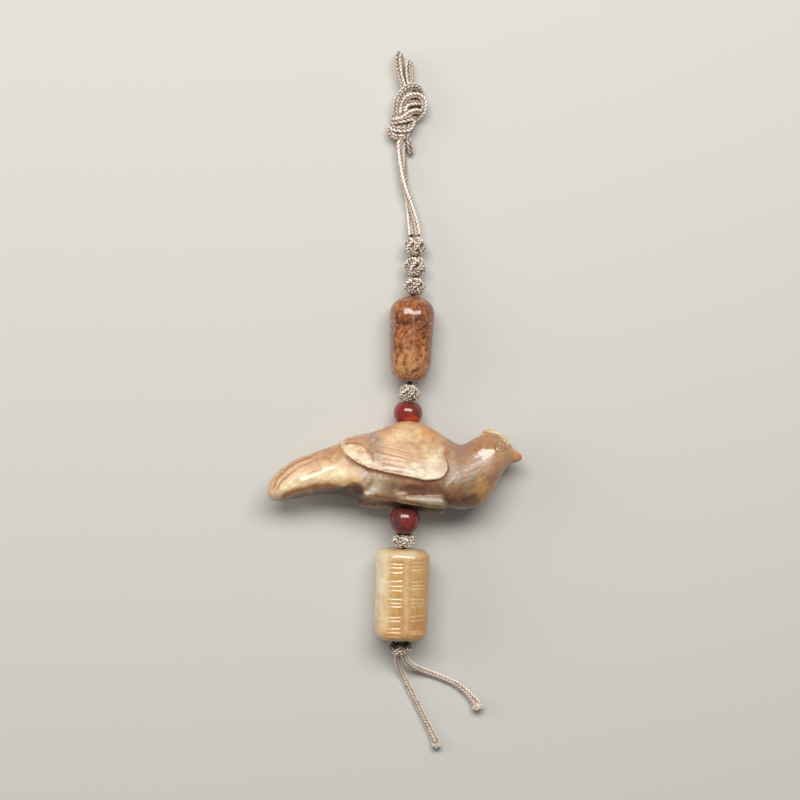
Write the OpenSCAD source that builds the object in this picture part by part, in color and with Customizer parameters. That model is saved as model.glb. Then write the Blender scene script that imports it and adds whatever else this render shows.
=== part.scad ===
// Jade bird pendant, laid on its side: a carved bird, beads and knots strung on one thread,
// with a doubled braided cord to hang it by and two cord tails below.
// X runs from the bird's tail to its beak, Y up the string, and Z away from the surface.

/* [Bird] */
// Length of the bird from tail to beak
bird_length = 63.5; // [62:0.5:65]
// Turn about the bird's length, as it lies on the flat of one wing
bird_roll = 14; // [12:1:16]
// Distance from the bird's middle plane to the flat of each wing
wing_flat = 5.85; // [5.7:0.05:6]
// Diameter of the legs where they are thickest
leg_d = 2.8; // [2.6:0.1:3]
// Length of the rounded thighs, from their rounded ends to the legs
thigh_d = 5.0; // [4.6:0.1:5.4]

/* [Beads] */
// Diameter of the red bead above the bird
upper_bead_d = 7.3; // [7:0.1:7.5]
// Diameter of the red bead below the bird
lower_bead_d = 7.8; // [7.4:0.1:8]
// Width of the brown bead across its shoulders
brown_w = 11.4; // [10.8:0.1:11.8]
// Thickness of the brown bead
brown_t = 10.8; // [10:0.1:11.4]
// Width of the jade tube across its flats
tube_w = 13.0; // [12.6:0.1:13.4]
// Rounding of the jade tube's ends
tube_rounding = 2.2; // [1.6:0.1:3]
// Diameter of the holes through the bird and the beads
bore_d = 2.4; // [2:0.1:2.6]
// Diameter of the hole through the jade tube
tube_bore_d = 3.4; // [3:0.1:4]

/* [Cords and knots] */
// Diameter of the braided cord
cord_d = 1.7; // [1.5:0.05:1.75]
// Diameter of the thread inside the beads
thread_d = 1.2; // [1:0.1:1.5]
// Diameter of the bulb at the end of the left tail
left_bulb_d = 2.6; // [2.3:0.1:2.7]
// Diameter of the bulb at the end of the right tail
right_bulb_d = 3.1; // [2.8:0.1:3.1]
// Diameter of the ball knots above the brown bead
ball_knot_d = 5.8; // [5.4:0.1:6]
// Diameter of the small knots beside the red beads and the tube
small_knot_d = 5.7; // [5.3:0.1:6]
// Gap left between one piece on the thread and the next
piece_gap = 0.2; // [0.16:0.02:0.24]

/* [Hidden] */
ring_points = 40;
steps_between = 3;
knot_bore_d = thread_d + 0.5;

// Length of the bird in the tables of sections below
drawn_length = 63.5;
// Fullness of the brown bead's section, where 2 is a circle and more is nearer a square
brown_fullness = 2.3;
// Width of a small knot's ends, and of the wider ends where two strands leave a knot
knot_end_d = 2.4;
wide_knot_end_d = 3.0;
// Widths of a tail's bulb at its tip and at the two points before it, as shares of its full width
bulb_shape = [0.8, 1.0, 0.75];
// How much further back the far thigh reaches than the near one
far_thigh_reach = 1.1;
// Length well past the bird on every side
far = 100;

// Places where one piece on the thread meets the next, from the top down
knot_top = [4.9, 52.2, 3.6];
ball_1_2 = [5.1, 47.1, 3.95];
ball_2_3 = [5.05, 41.9, 4.5];
ball_3_end = [4.6, 37.4, 5.1];
brown_top = [4.45, 37.2, brown_t / 2];
brown_bottom = [3.7, 15.5, brown_t / 2];
knot_top_2 = [3.65, 15.4, 5.0];
bead_1_top = [3.35, 10.7, 4.5];
back_mouth = [3.2, 4.8, 4.3];
belly_mouth = [2.5, -14.6, 9.2];
bead_2_top = [2.45, -15.5, 9.1];
bead_2_bottom = [2.3, -22.1, 8.2];
knot_tube = [2.15, -25.6, 7.5];
// Turn of the tube about its own axis, which brings its upper face round a little to the right
tube_turn = -11;
// Fullness of the tube's section: 2 is a circle, and more is nearer a square
tube_fullness = 2.7;
tube_lift = max([for (p = soft_square(0, tube_w / 2, tube_w / 2, tube_fullness, tube_turn)) p.x]);
tube_top = [2.1, -26.0, tube_lift];
tube_bottom = [1.25, -48.9, tube_lift];
end_knot_top = [1.25, -49.2, 6.3];
end_knot_end = [1.4, -52.6, 5.7];

// Routes of the cords, as points along each one's middle
strand_a_route = [[4.1, 52.4, 3.2], [3.9, 55, 2.3], [3.55, 58, 1.2], [3.1, 61, 0.87],
                  [2.7, 64.2, 0.87], [2.35, 67.3, 0.87], [2.1, 70.8, 0.87], [2.0, 73.6, 0.95],
                  [2.1, 75.8, 1.3]];
strand_b_route = [[5.75, 52.4, 3.9], [5.45, 55, 3.55], [4.7, 58, 3.1], [3.75, 61, 2.95],
                  [2.7, 64.2, 2.9], [1.95, 67.3, 2.78], [1.4, 70.8, 2.65], [1.15, 73.6, 2.65],
                  [1.1, 75.7, 3.0]];
loop_a_route = [[2.0, 90.0, 3.4], [1.4, 92.3, 3.3], [1.0, 94.2, 3.35], [0.75, 96.0, 3.4],
                [0.75, 97.4, 3.3], [1.1, 98.4, 2.2], [1.5, 97.4, 1.1], [1.6, 96.0, 0.87],
                [1.65, 94.2, 0.87], [1.85, 92.3, 0.87], [2.2, 90.0, 1.2]];
loop_b_route = [[3.8, 90.0, 3.4], [3.55, 91.9, 3.4], [3.4, 93.7, 3.45], [3.42, 95.2, 3.3],
                [3.65, 96.15, 2.25], [3.9, 95.2, 1.15], [3.92, 93.7, 0.87], [3.95, 91.9, 0.87],
                [4.05, 90.0, 1.2]];
cut_end_route = [[3.6, 75.6, 2.6], [3.7, 74.9, 2.2], [3.8, 74.2, 1.6], [3.9, 73.5, 1.0]];
tail_left_route = [[0.55, -53.05, 5.0], [0.62, -54.1, 4.2], [0.9, -55.5, 3.0], [1.4, -57.2, 1.8],
                   [2.1, -58.7, 1.0], [3.4, -61.4, 0.87], [4.85, -64.3, 0.87],
                   [6.35, -67.3, 0.87], [7.85, -70.4, 0.87], [9.1, -72.9, 0.95],
                   [10.1, -74.9, 1.25], [10.5, -76.0, 1.4], [10.45, -77.1, 1.4]];
tail_right_route = [[2.35, -53.05, 5.3], [3.0, -54.4, 4.3], [4.4, -55.8, 3.2], [6.3, -56.9, 2.0],
                    [8.3, -57.8, 1.1], [11.7, -59.05, 0.87], [14.9, -60.5, 0.87],
                    [17.1, -62.05, 0.87], [18.8, -63.65, 0.95], [20.1, -65.1, 1.25],
                    [20.75, -66.2, 1.6], [21.0, -67.4, 1.6]];
thread_route = [[4.93, 51.3, 3.65], ball_1_2, ball_2_3, ball_3_end, [4.4, 35.0, 5.3],
                [3.75, 17.4, 5.3], knot_top_2, bead_1_top, back_mouth, bead_2_top,
                bead_2_bottom, knot_tube, [2.05, -27.6, 6.9], [1.3, -47.6, 6.6],
                [1.35, -51.6, 5.9]];
cord_sides = 8;

// Bird's sections from tail to beak: place along X, top, widest height, bottom, half width,
// then fullness above and below, where 2 is an ellipse and more is nearer a box
bird_sections = [
    [-31.72, -11.2, -11.9, -12.7, 1.0, 2.0, 2.0],
    [-31.3, -9.9, -11.9, -13.8, 2.2, 2.0, 2.2],
    [-30.2, -8.1, -11.6, -14.3, 3.1, 2.0, 2.4],
    [-28.2, -6.2, -10.9, -14.3, 3.7, 2.0, 2.6],
    [-25.2, -4.2, -9.8, -13.7, 4.3, 2.1, 2.8],
    [-20.7, -2.4, -8.6, -12.8, 4.8, 2.1, 3.0],
    [-16.2, -0.8, -7.7, -12.3, 5.3, 2.2, 3.2],
    [-12.5, 0.4, -7.3, -12.7, 5.7, 2.3, 3.4],
    [-9.5, 1.4, -7.1, -13.4, 6.0, 2.4, 3.4],
    [-4, 3.5, -7.2, -13.9, 6.3, 2.7, 3.2],
    [1.5, 5.4, -7.6, -14.2, 6.6, 3.0, 3.0],
    [6, 5.2, -8.0, -14.8, 6.7, 3.0, 2.7],
    [10, 3.4, -8.5, -15.5, 6.7, 2.6, 2.4],
    [13.7, 1.0, -8.9, -16.2, 6.5, 2.2, 2.2],
    [16.6, -0.2, -8.6, -16.6, 6.1, 2.0, 2.0],
    [19.6, 1.3, -7.4, -16.1, 5.7, 2.0, 2.0],
    [21.8, 2.3, -5.6, -15.2, 5.4, 2.0, 2.0],
    [24.1, 2.3, -3.8, -12.7, 5.1, 2.0, 2.0],
    [26, 1.5, -2.8, -9.2, 4.6, 2.0, 2.0],
    [27.6, 0.4, -2.3, -6.3, 3.7, 2.0, 2.0],
    [28.8, -0.8, -2.5, -5.1, 2.5, 2.0, 2.0],
    [29.6, -1.2, -2.8, -4.8, 1.7, 2.0, 2.0],
    [30.7, -1.9, -3.0, -4.5, 1.2, 2.0, 2.0],
    [31.4, -2.5, -3.2, -4.1, 0.8, 2.0, 2.0],
    [31.75, -3.0, -3.3, -3.7, 0.4, 2.0, 2.0]];

// Sections of the folded wings, in the same columns
wing_sections = [
    [-15, -0.4, -4.0, -9, 5.2, 2.2, 2.2],
    [-12, 1.4, -5.0, -12, 6.2, 2.2, 2.2],
    [-9, 2.3, -6.5, -14, 6.8, 2.2, 2.2],
    [-6, 2.8, -8.0, -14, 7.1, 2.3, 2.2],
    [-2, 4.3, -9.0, -14, 7.3, 2.7, 2.2],
    [2, 5.6, -9.5, -15, 7.4, 3.2, 2.2],
    [6, 5.3, -9.5, -15, 7.5, 3.0, 2.2],
    [10, 3.4, -9.5, -15, 7.4, 2.5, 2.2],
    [13, 1.3, -9.0, -15, 7.1, 2.2, 2.2],
    [15, 0.3, -9.0, -15, 6.8, 2.1, 2.2]];

// Sections of the crest, in the same columns: a cap that ends in a step behind the head
crest_sections = [
    [21.7, 2.75, 2.4, 1.6, 1.0, 2.4, 2.0],
    [22.2, 3.5, 2.5, 1.2, 2.1, 2.6, 2.0],
    [23.3, 3.85, 2.4, 0.8, 2.7, 2.6, 2.0],
    [24.9, 3.6, 1.9, 0.2, 2.9, 2.6, 2.0],
    [26.4, 2.8, 1.3, -0.4, 2.6, 2.5, 2.0],
    [27.8, 1.6, 0.4, -1.2, 2.0, 2.3, 2.0],
    [28.7, 0.4, -0.5, -1.8, 1.3, 2.1, 2.0],
    [29.2, -0.4, -1.0, -2.0, 0.7, 2.0, 2.0]];

// Outline of a folded wing seen from the bird's side, from its tip along the lower edge
wing_outline = [[-13.8, -1.2], [-12.3, -3.6], [-10.5, -5.4], [-8.5, -6.6], [-6.5, -7.6],
                [-2.4, -8.6], [1.0, -9.35], [5.4, -10.3], [7.6, -10.7], [10.1, -10.55],
                [11.7, -9.9], [12.8, -8.7], [13.2, -7.35], [12.8, -5.8], [12.4, -4.3],
                [12.2, -2.6], [12.4, -1.0], [12.8, 3], [12, 8], [0, 9], [-12, 5], [-14.3, 1.5]];

// Brown bead's sections from its domed end: place, half width and half thickness as shares
brown_sections = [[0, 0.22, 0.22], [0.012, 0.42, 0.42], [0.045, 0.66, 0.64], [0.1, 0.87, 0.84],
                  [0.17, 0.98, 0.96], [0.26, 1.0, 1.0], [0.4, 0.965, 0.985],
                  [0.55, 0.955, 0.98], [0.7, 0.93, 0.96], [0.82, 0.88, 0.91],
                  [0.9, 0.79, 0.81], [0.955, 0.64, 0.66], [0.987, 0.45, 0.45],
                  [1, 0.25, 0.25]];

// Loop knot's sections from its foot: place along Y, middle along X, half width and half height
loop_knot_sections = [[76.0, 1.6, 1.9, 1.6], [76.9, 1.4, 2.9, 2.2], [79, 1.3, 3.4, 2.5],
                      [81, 2.0, 3.5, 2.5], [83, 3.0, 4.3, 2.5], [85.5, 3.6, 4.7, 2.55],
                      [87.6, 3.5, 4.3, 2.5], [89.1, 3.1, 3.3, 2.3], [89.7, 2.9, 2.3, 1.9]];
loop_knot_lift = 2.55;

// A sine or cosine raised to a power that fills out its curve, with its sign kept
function filled(wave, fullness) = sign(wave) * pow(abs(wave), 2 / fullness);

// Points of one closed section, counted round from its top
function section(row) = [for (i = [0 : ring_points - 1])
    let (a = 360 * i / ring_points,
         reach = cos(a) > 0 ? row[1] - row[2] : row[2] - row[3],
         fullness = cos(a) > 0 ? row[5] : row[6])
    [row[0], row[2] + reach * filled(cos(a), fullness), row[4] * filled(sin(a), fullness)]];

// Value at place t of a smooth curve through the rows of a table
function curve_at(rows, t) = let (
    last = len(rows) - 1, i = min(floor(t), last - 1), f = t - i,
    a = rows[max(i - 1, 0)], b = rows[i], c = rows[i + 1], d = rows[min(i + 2, last)])
    (2 * b + (c - a) * f + (2 * a - 5 * b + 4 * c - d) * f * f
     + (3 * b - a - 3 * c + d) * f * f * f) / 2;

function smooth_rows(rows, steps) =
    [for (k = [0 : (len(rows) - 1) * steps]) curve_at(rows, k / steps)];

// Solid through a row of rings that all have the same number of points
module skin(rings) {
    n = len(rings[0]);
    last = len(rings) - 1;
    sides = [for (k = [0 : last - 1], i = [0 : n - 1])
        let (j = (i + 1) % n)
        each [[k * n + i, (k + 1) * n + j, k * n + j],
              [k * n + i, (k + 1) * n + i, (k + 1) * n + j]]];
    start_cap = [for (i = [0 : n - 1]) i];
    end_cap = [for (i = [n - 1 : -1 : 0]) last * n + i];
    polyhedron([for (r = rings) each r], concat(sides, [start_cap, end_cap]));
}

function unit(v) = v / norm(v);

// Rings of a round tube along a route; widths holds its diameter at each point
function tube_rings(route, widths, across) = [for (i = [0 : len(route) - 1])
    let (along = unit(route[min(i + 1, len(route) - 1)] - route[max(i - 1, 0)]),
         right = unit(cross(across, along)),
         up = cross(along, right))
    [for (k = [0 : cord_sides - 1])
        let (a = 360 * k / cord_sides)
        route[i] + widths[i] / 2 * (cos(a) * right + sin(a) * up)]];

module cord(route, across = [0, 0, 1], widths = undef) {
    even = [for (p = route) cord_d];
    skin(tube_rings(route, is_undef(widths) ? even : widths, across));
}

// Puts a child's Z axis on the line from p to q, with its start at p
module along(p, q) {
    d = q - p;
    translate(p)
        rotate([0, acos(d.z / norm(d)), atan2(d.y, d.x)])
            children();
}

// Turned piece with soft shoulders and a hole, from one end of the thread's stretch to the next
module turned(p, q, d, flat_d, hole_d) {
    length = norm(q - p) - piece_gap;
    half = length / 2;
    rise = [for (i = [0 : 12]) 90 * i / 12];
    outer = [for (a = rise) [flat_d / 2 + (d - flat_d) / 2 * sin(a), -half * cos(a)]];
    upper = [for (i = [11 : -1 : 0]) [outer[i].x, -outer[i].y]];
    along(p, q)
        translate([0, 0, piece_gap / 2 + half])
            rotate_extrude($fn = 64)
                polygon(concat([[hole_d / 2, -half]], outer, upper, [[hole_d / 2, half]]));
}

module folded_wings() {
    intersection() {
        skin([for (row = smooth_rows(wing_sections, steps_between)) section(row)]);
        translate([0, 0, -15])
            linear_extrude(30)
                polygon(smooth_rows(concat(wing_outline, [wing_outline[0]]), steps_between));
    }
}

// The space between the flats of the two wings, which lean together towards the back
module between_flats() {
    intersection() {
        rotate([bird_roll, 0, 0])
            translate([-far / 2, -far / 2, -wing_flat])
                cube(far);
        mirror([0, 0, 1])
            rotate([bird_roll, 0, 0])
                translate([-far / 2, -far / 2, -wing_flat])
                    cube(far);
    }
}

module blob(place, size) {
    translate(place)
        scale(size)
            sphere(d = 1, $fn = 20);
}

module legs() {
    for (side = [-1, 1])
        hull() {
            blob([1.4, -14.8, side * 3.7], [1.6, 1.5, 2.0]);
            blob([11.1, -15.0, side * 3.7], [1.8, 1.8, leg_d]);
            blob([11.0, -16.1, side * 3.7], [1.8, 1.8, leg_d]);
        }
}

module thighs() {
    for (side = [-1, 1])
        hull() {
            blob([-6.6 - (side < 0 ? far_thigh_reach : 0), -13.6, side * 4.1], [2.6, 2.3, 3.0]);
            blob([-3.6, -12.7, side * 3.4], [thigh_d, 4.8, 4.8]);
            blob([2, -13.1, side * 3.2], [4, 4, 4.4]);
            blob([-1.5, -8.8, side * 3.4], [thigh_d, 5, 5]);
        }
}

module crest() {
    skin([for (row = smooth_rows(crest_sections, steps_between)) section(row)]);
}

module bird() {
    size = bird_length / drawn_length;
    color("burlywood")
        difference() {
            translate([0, 0, wing_flat * size])
                rotate([-bird_roll, 0, 0])
                    scale(size)
                        intersection() {
                            carving();
                            between_flats();
                        }
            along(back_mouth + (back_mouth - belly_mouth), belly_mouth)
                cylinder(h = 3 * norm(back_mouth - belly_mouth), d = bore_d, $fn = 48);
            bead_seat(back_mouth, bead_1_top, upper_bead_d);
            bead_seat(bead_2_bottom, bead_2_top, lower_bead_d);
        }
}

module carving() {
    skin([for (row = smooth_rows(bird_sections, steps_between)) section(row)]);
    folded_wings();
    legs();
    thighs();
    crest();
}

// Dished mouth of the bird's hole, where a bead of diameter d tucks in against the carving
module bead_seat(p, q, d) {
    clear = 0.3;
    spare = clear * unit(q - p);
    turned(p - spare, q + spare, d + 2 * clear, bore_d + 1, 0);
}

module upper_red_bead()
    color("firebrick")
        turned(back_mouth, bead_1_top, upper_bead_d, bore_d + 0.6, bore_d);

module lower_red_bead()
    color("brown")
        turned(bead_2_bottom, bead_2_top, lower_bead_d, bore_d + 0.6, bore_d);

module ball_knot_top()
    color("antiquewhite")
        turned(ball_1_2, knot_top, ball_knot_d, wide_knot_end_d, knot_bore_d);

module ball_knot_middle()
    color("antiquewhite")
        turned(ball_2_3, ball_1_2, ball_knot_d, knot_end_d, knot_bore_d);

module ball_knot_bottom()
    color("antiquewhite")
        turned(ball_3_end, ball_2_3, ball_knot_d, knot_end_d, knot_bore_d);

module knot_above_bird()
    color("antiquewhite")
        turned(bead_1_top, knot_top_2, small_knot_d, knot_end_d, knot_bore_d);

module knot_below_bird()
    color("antiquewhite")
        turned(knot_tube, bead_2_bottom, small_knot_d, knot_end_d, knot_bore_d);

module end_knot()
    color("antiquewhite")
        turned(end_knot_end, end_knot_top, small_knot_d, wide_knot_end_d, knot_bore_d);

// Brown bead with a domed head, soft corners and a slightly narrower foot
module brown_bead() {
    length = norm(brown_top - brown_bottom) - piece_gap;
    color("peru")
        difference() {
            along(brown_top, brown_bottom)
                translate([0, 0, piece_gap / 2])
                    skin([for (row = smooth_rows(brown_sections, 2))
                        soft_square(row[0] * length, row[2] * brown_t / 2,
                                    row[1] * brown_w / 2, brown_fullness, 0)]);
            along(brown_top + (brown_top - brown_bottom), brown_bottom)
                cylinder(h = 3 * norm(brown_top - brown_bottom), d = bore_d, $fn = 48);
        }
}

// Closed ring at height h, between a circle and a square, turned about the Z axis
function soft_square(h, half_x, half_y, fullness, turn) = [for (i = [0 : ring_points - 1])
    let (a = 360 * i / ring_points,
         x = half_x * filled(cos(a), fullness),
         y = half_y * filled(sin(a), fullness))
    [x * cos(turn) - y * sin(turn), x * sin(turn) + y * cos(turn), h]];

// Pale jade tube with rounded ends, nearly square in section
module jade_tube() {
    length = norm(tube_top - tube_bottom) - piece_gap;
    r = tube_rounding;
    turns = [for (i = [0 : 6]) 15 * i];
    rows = concat([for (a = turns) [r - r * cos(a), r - r * sin(a)]],
                  [for (a = turns) [length - r + r * sin(a), r - r * cos(a)]]);
    color("wheat")
        difference() {
            along(tube_top, tube_bottom)
                translate([0, 0, piece_gap / 2])
                    skin([for (row = rows)
                        soft_square(row[0], tube_w / 2 - row[1], tube_w / 2 - row[1],
                                    tube_fullness, tube_turn)]);
            along(tube_top + (tube_top - tube_bottom), tube_bottom)
                cylinder(h = 3 * norm(tube_top - tube_bottom), d = tube_bore_d, $fn = 48);
        }
}

module bead_thread()
    color("tan")
        cord(thread_route, [0, 0, 1], [for (p = thread_route) thread_d]);

// Outer form of the knot that gathers the doubled cord
module loop_knot()
    color("antiquewhite")
        skin([for (row = smooth_rows(loop_knot_sections, 2))
            [for (i = [0 : 23])
                [row[1] + row[2] * sin(15 * i), row[0], loop_knot_lift + row[3] * cos(15 * i)]]]);

module cut_end() color("antiquewhite") cord(cut_end_route);

module strand_a() color("antiquewhite") cord(strand_a_route);

module strand_b() color("antiquewhite") cord(strand_b_route);

module loop_a() color("antiquewhite") cord(loop_a_route, [1, 0, 0]);

module loop_b() color("antiquewhite") cord(loop_b_route, [1, 0, 0]);

// A tail's diameter at each point of its route, which swells to a bulb at the end
function tail_widths(route, bulb_d) = [for (i = [0 : len(route) - 1])
    let (from_end = len(route) - 1 - i)
    from_end < len(bulb_shape) ? bulb_d * bulb_shape[from_end] : cord_d];

module tail_left() color("antiquewhite")
    cord(tail_left_route, widths = tail_widths(tail_left_route, left_bulb_d));

module tail_right() color("antiquewhite")
    cord(tail_right_route, widths = tail_widths(tail_right_route, right_bulb_d));

bird();
upper_red_bead();
lower_red_bead();
brown_bead();
jade_tube();
ball_knot_top();
ball_knot_middle();
ball_knot_bottom();
knot_above_bird();
knot_below_bird();
end_knot();
bead_thread();
loop_knot();
strand_a();
strand_b();
loop_a();
loop_b();
cut_end();
tail_left();
tail_right();
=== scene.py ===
"""Jade bird pendant laid flat: a carved bird, agate beads, a carved jade tube, knots and cords.

Lengths are in millimetres until a mesh is made. X runs from the bird's tail to its beak, Y up
the string, and Z away from the surface that the pendant lies on.
"""

from collections import namedtuple
from math import ceil, cos, pi, radians, sin

import bmesh
import bpy
import numpy as np
from mathutils import Matrix, Vector, noise


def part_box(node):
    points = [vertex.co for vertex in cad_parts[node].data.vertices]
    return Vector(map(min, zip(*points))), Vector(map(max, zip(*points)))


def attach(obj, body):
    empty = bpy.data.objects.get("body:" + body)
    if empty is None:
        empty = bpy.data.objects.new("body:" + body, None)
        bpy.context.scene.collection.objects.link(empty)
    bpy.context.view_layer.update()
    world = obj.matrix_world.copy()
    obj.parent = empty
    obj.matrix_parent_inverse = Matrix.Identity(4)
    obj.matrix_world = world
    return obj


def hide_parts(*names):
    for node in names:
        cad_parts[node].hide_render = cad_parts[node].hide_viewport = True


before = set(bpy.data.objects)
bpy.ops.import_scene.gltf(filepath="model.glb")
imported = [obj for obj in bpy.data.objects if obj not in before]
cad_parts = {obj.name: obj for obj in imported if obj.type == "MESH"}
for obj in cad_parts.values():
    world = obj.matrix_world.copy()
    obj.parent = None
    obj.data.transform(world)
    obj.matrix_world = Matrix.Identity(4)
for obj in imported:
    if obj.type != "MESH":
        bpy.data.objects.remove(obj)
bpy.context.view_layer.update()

# Without a seed the vector noise that makes the stains' edges ragged would differ in each run
noise.seed_set(3)

MM = 0.001
# Corners nearer than this, in metres, are one corner
SAME = 1e-6

# The camera looks straight down, and places that are given as seen lie on the plane at SEEN_Z
CAMERA_X, CAMERA_Y, CAMERA_Z = 1.25, 11.1, 507.0
SEEN_Z = 7.0
SENSOR_MM = 36.0
FRAME_WIDTH = 200.0

# Round braid of eight yarns, four each way. The yarns that run one way lie on top in two columns
# of slanted stitches, and the others in the two columns between, where a brown tracer runs
CORD_D = 1.7
YARNS_EACH_WAY = 4
BRAID_PITCH = 3.6
YARN_W, YARN_T = 0.62, 0.42
YARN_LIFT = 0.14
YARN_SWAY = 0.22
CORD_STEP = BRAID_PITCH / 18
CREAM, TRACER, CORE = 0, 1, 2

# A tail's melted end, in lengths from it: the bulb keeps its width up to the first, and the
# yarns melt together from the second on, over the third. Then how thick their melted core is
BULB_KEEPS, MELT_FROM, MELT_OVER = 1.2, 5.4, 4.2
MELTED_CORE = 1.76

# Dust and handling make a place browner, as if it lay so much deeper in its cord. In the small
# knots it is also painted shade, where a lead dips under the next and on the leads through a knot's
# middle
BULB_DUST, LOOP_DUST, LOOP_KNOT_DUST, KNOT_DUST_AND_SHADE, LEAD_DUST_AND_SHADE = 0.02, 0.035, 0.04, 0.058, 0.1

# The cut end's loose yarns, and the two strands of thread inside the beads
FRAYS, FRAY_D = 60, 0.13
THREAD_D, THREAD_TURN = 0.55, 9.0

# Cord of the small knots, which is drawn tight, and how far its leads lie over and under. Two
# thinner leads run through a knot's middle, each so far to its side
KNOT_CORD_D = 1.45
KNOT_LEADS, KNOT_BIGHTS = 4, 5
KNOT_DEPTH = 0.13
KNOT_LATITUDE = radians(60)
LEAD_D, LEAD_ASIDE = 1.0, 0.45

# Red beads: width of the flat at each end, and of the hole
BEAD_FLAT, BEAD_HOLE = 3.0, 2.4

# Bird as it lies: turn about its length, and height of its middle plane
BIRD_ROLL = radians(14)
BIRD_LIFT = 5.85

# Places where one piece on the thread meets the next, from the top down
KNOT_TOP = (4.9, 52.2, 3.6)
BALL_1_2 = (5.1, 47.1, 3.95)
BALL_2_3 = (5.05, 41.9, 4.5)
BALL_3_END = (4.6, 37.4, 5.1)
KNOT_TOP_2 = (3.65, 15.4, 5.0)
BEAD_1_TOP = (3.35, 10.7, 4.5)
BACK_MOUTH = (3.2, 4.8, 4.3)
BEAD_2_TOP = (2.45, -15.5, 9.1)
BEAD_2_BOTTOM = (2.3, -22.1, 8.2)
KNOT_TUBE = (2.15, -25.6, 7.5)
TUBE_TOP = (2.1, -26.0)
TUBE_BOTTOM = (1.25, -48.9)
TUBE_TURN = radians(11)
END_KNOT_TOP = (1.25, -49.2, 6.3)
END_KNOT_END = (1.4, -52.6, 5.7)

# Routes of the cords, as points along each one's middle, which is 0.87 up where the cord lies flat
STRAND_A = [(4.1, 52.4, 3.2), (3.9, 55, 2.3), (3.55, 58, 1.2), (3.1, 61, 0.87),
            (2.7, 64.2, 0.87), (2.35, 67.3, 0.87), (2.1, 70.8, 0.87), (2.0, 73.6, 0.95),
            (2.1, 75.8, 1.3)]
STRAND_B = [(5.75, 52.4, 3.9), (5.45, 55, 3.55), (4.7, 58, 3.1), (3.75, 61, 2.95),
            (2.7, 64.2, 2.9), (1.95, 67.3, 2.78), (1.4, 70.8, 2.65), (1.15, 73.6, 2.65),
            (1.1, 75.7, 3.0)]
LOOP_A = [(2.0, 90.0, 3.4), (1.4, 92.3, 3.3), (1.0, 94.2, 3.35), (0.75, 96.0, 3.4),
          (0.75, 97.4, 3.3), (1.1, 98.4, 2.2), (1.5, 97.4, 1.1), (1.6, 96.0, 0.87),
          (1.65, 94.2, 0.87), (1.85, 92.3, 0.87), (2.2, 90.0, 1.2)]
LOOP_B = [(3.8, 90.0, 3.4), (3.55, 91.9, 3.4), (3.4, 93.7, 3.45), (3.42, 95.2, 3.3),
          (3.65, 96.15, 2.25), (3.9, 95.2, 1.15), (3.92, 93.7, 0.87), (3.95, 91.9, 0.87),
          (4.05, 90.0, 1.2)]
CUT_END = [(3.0, 78.0, 2.4), (3.6, 75.6, 2.6), (3.7, 74.9, 2.2), (3.8, 74.2, 1.6), (3.9, 73.5, 1.0)]
TAIL_LEFT = [(0.55, -53.05, 5.0), (0.62, -54.1, 4.2), (0.9, -55.5, 3.0), (1.4, -57.2, 1.8),
             (2.1, -58.7, 1.0), (3.4, -61.4, 0.87), (4.85, -64.3, 0.87), (6.35, -67.3, 0.87),
             (7.85, -70.4, 0.87), (9.1, -72.9, 0.95), (10.1, -74.9, 1.25), (10.5, -76.0, 1.4),
             (10.45, -77.1, 1.4)]
TAIL_RIGHT = [(2.35, -53.05, 5.3), (3.0, -54.4, 4.3), (4.4, -55.8, 3.2), (6.3, -56.9, 2.0),
              (8.3, -57.8, 1.1), (11.7, -59.05, 0.87), (14.9, -60.5, 0.87),
              (17.1, -62.05, 0.87), (18.8, -63.65, 0.95), (20.1, -65.1, 1.25),
              (20.75, -66.2, 1.6), (21.0, -67.4, 1.6)]
# Hidden stretches: through the loop knot between strand and loop, back into it, and into the
# knot and the tube above the tails
THROUGH_KNOT_A = [(2.0, 78.5, 1.5), (1.7, 82.0, 1.6), (1.6, 86.0, 2.2)]
THROUGH_KNOT_B = [(1.9, 78.5, 2.6), (2.6, 82.0, 2.4), (3.2, 86.0, 2.6)]
BACK_IN_A = [(2.5, 87.5, 1.3), (2.7, 85.0, 1.4)]
BACK_IN_B = [(4.2, 87.5, 1.3), (4.2, 85.0, 1.4)]
INTO_TUBE_LEFT = [(0.95, -46.0, 6.5), (0.9, -48.2, 6.3), (0.85, -50.0, 6.0), (0.65, -51.7, 5.6)]
INTO_TUBE_RIGHT = [(1.7, -46.0, 6.6), (1.7, -48.2, 6.4), (1.8, -50.0, 6.2), (2.0, -51.7, 5.8)]

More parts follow.
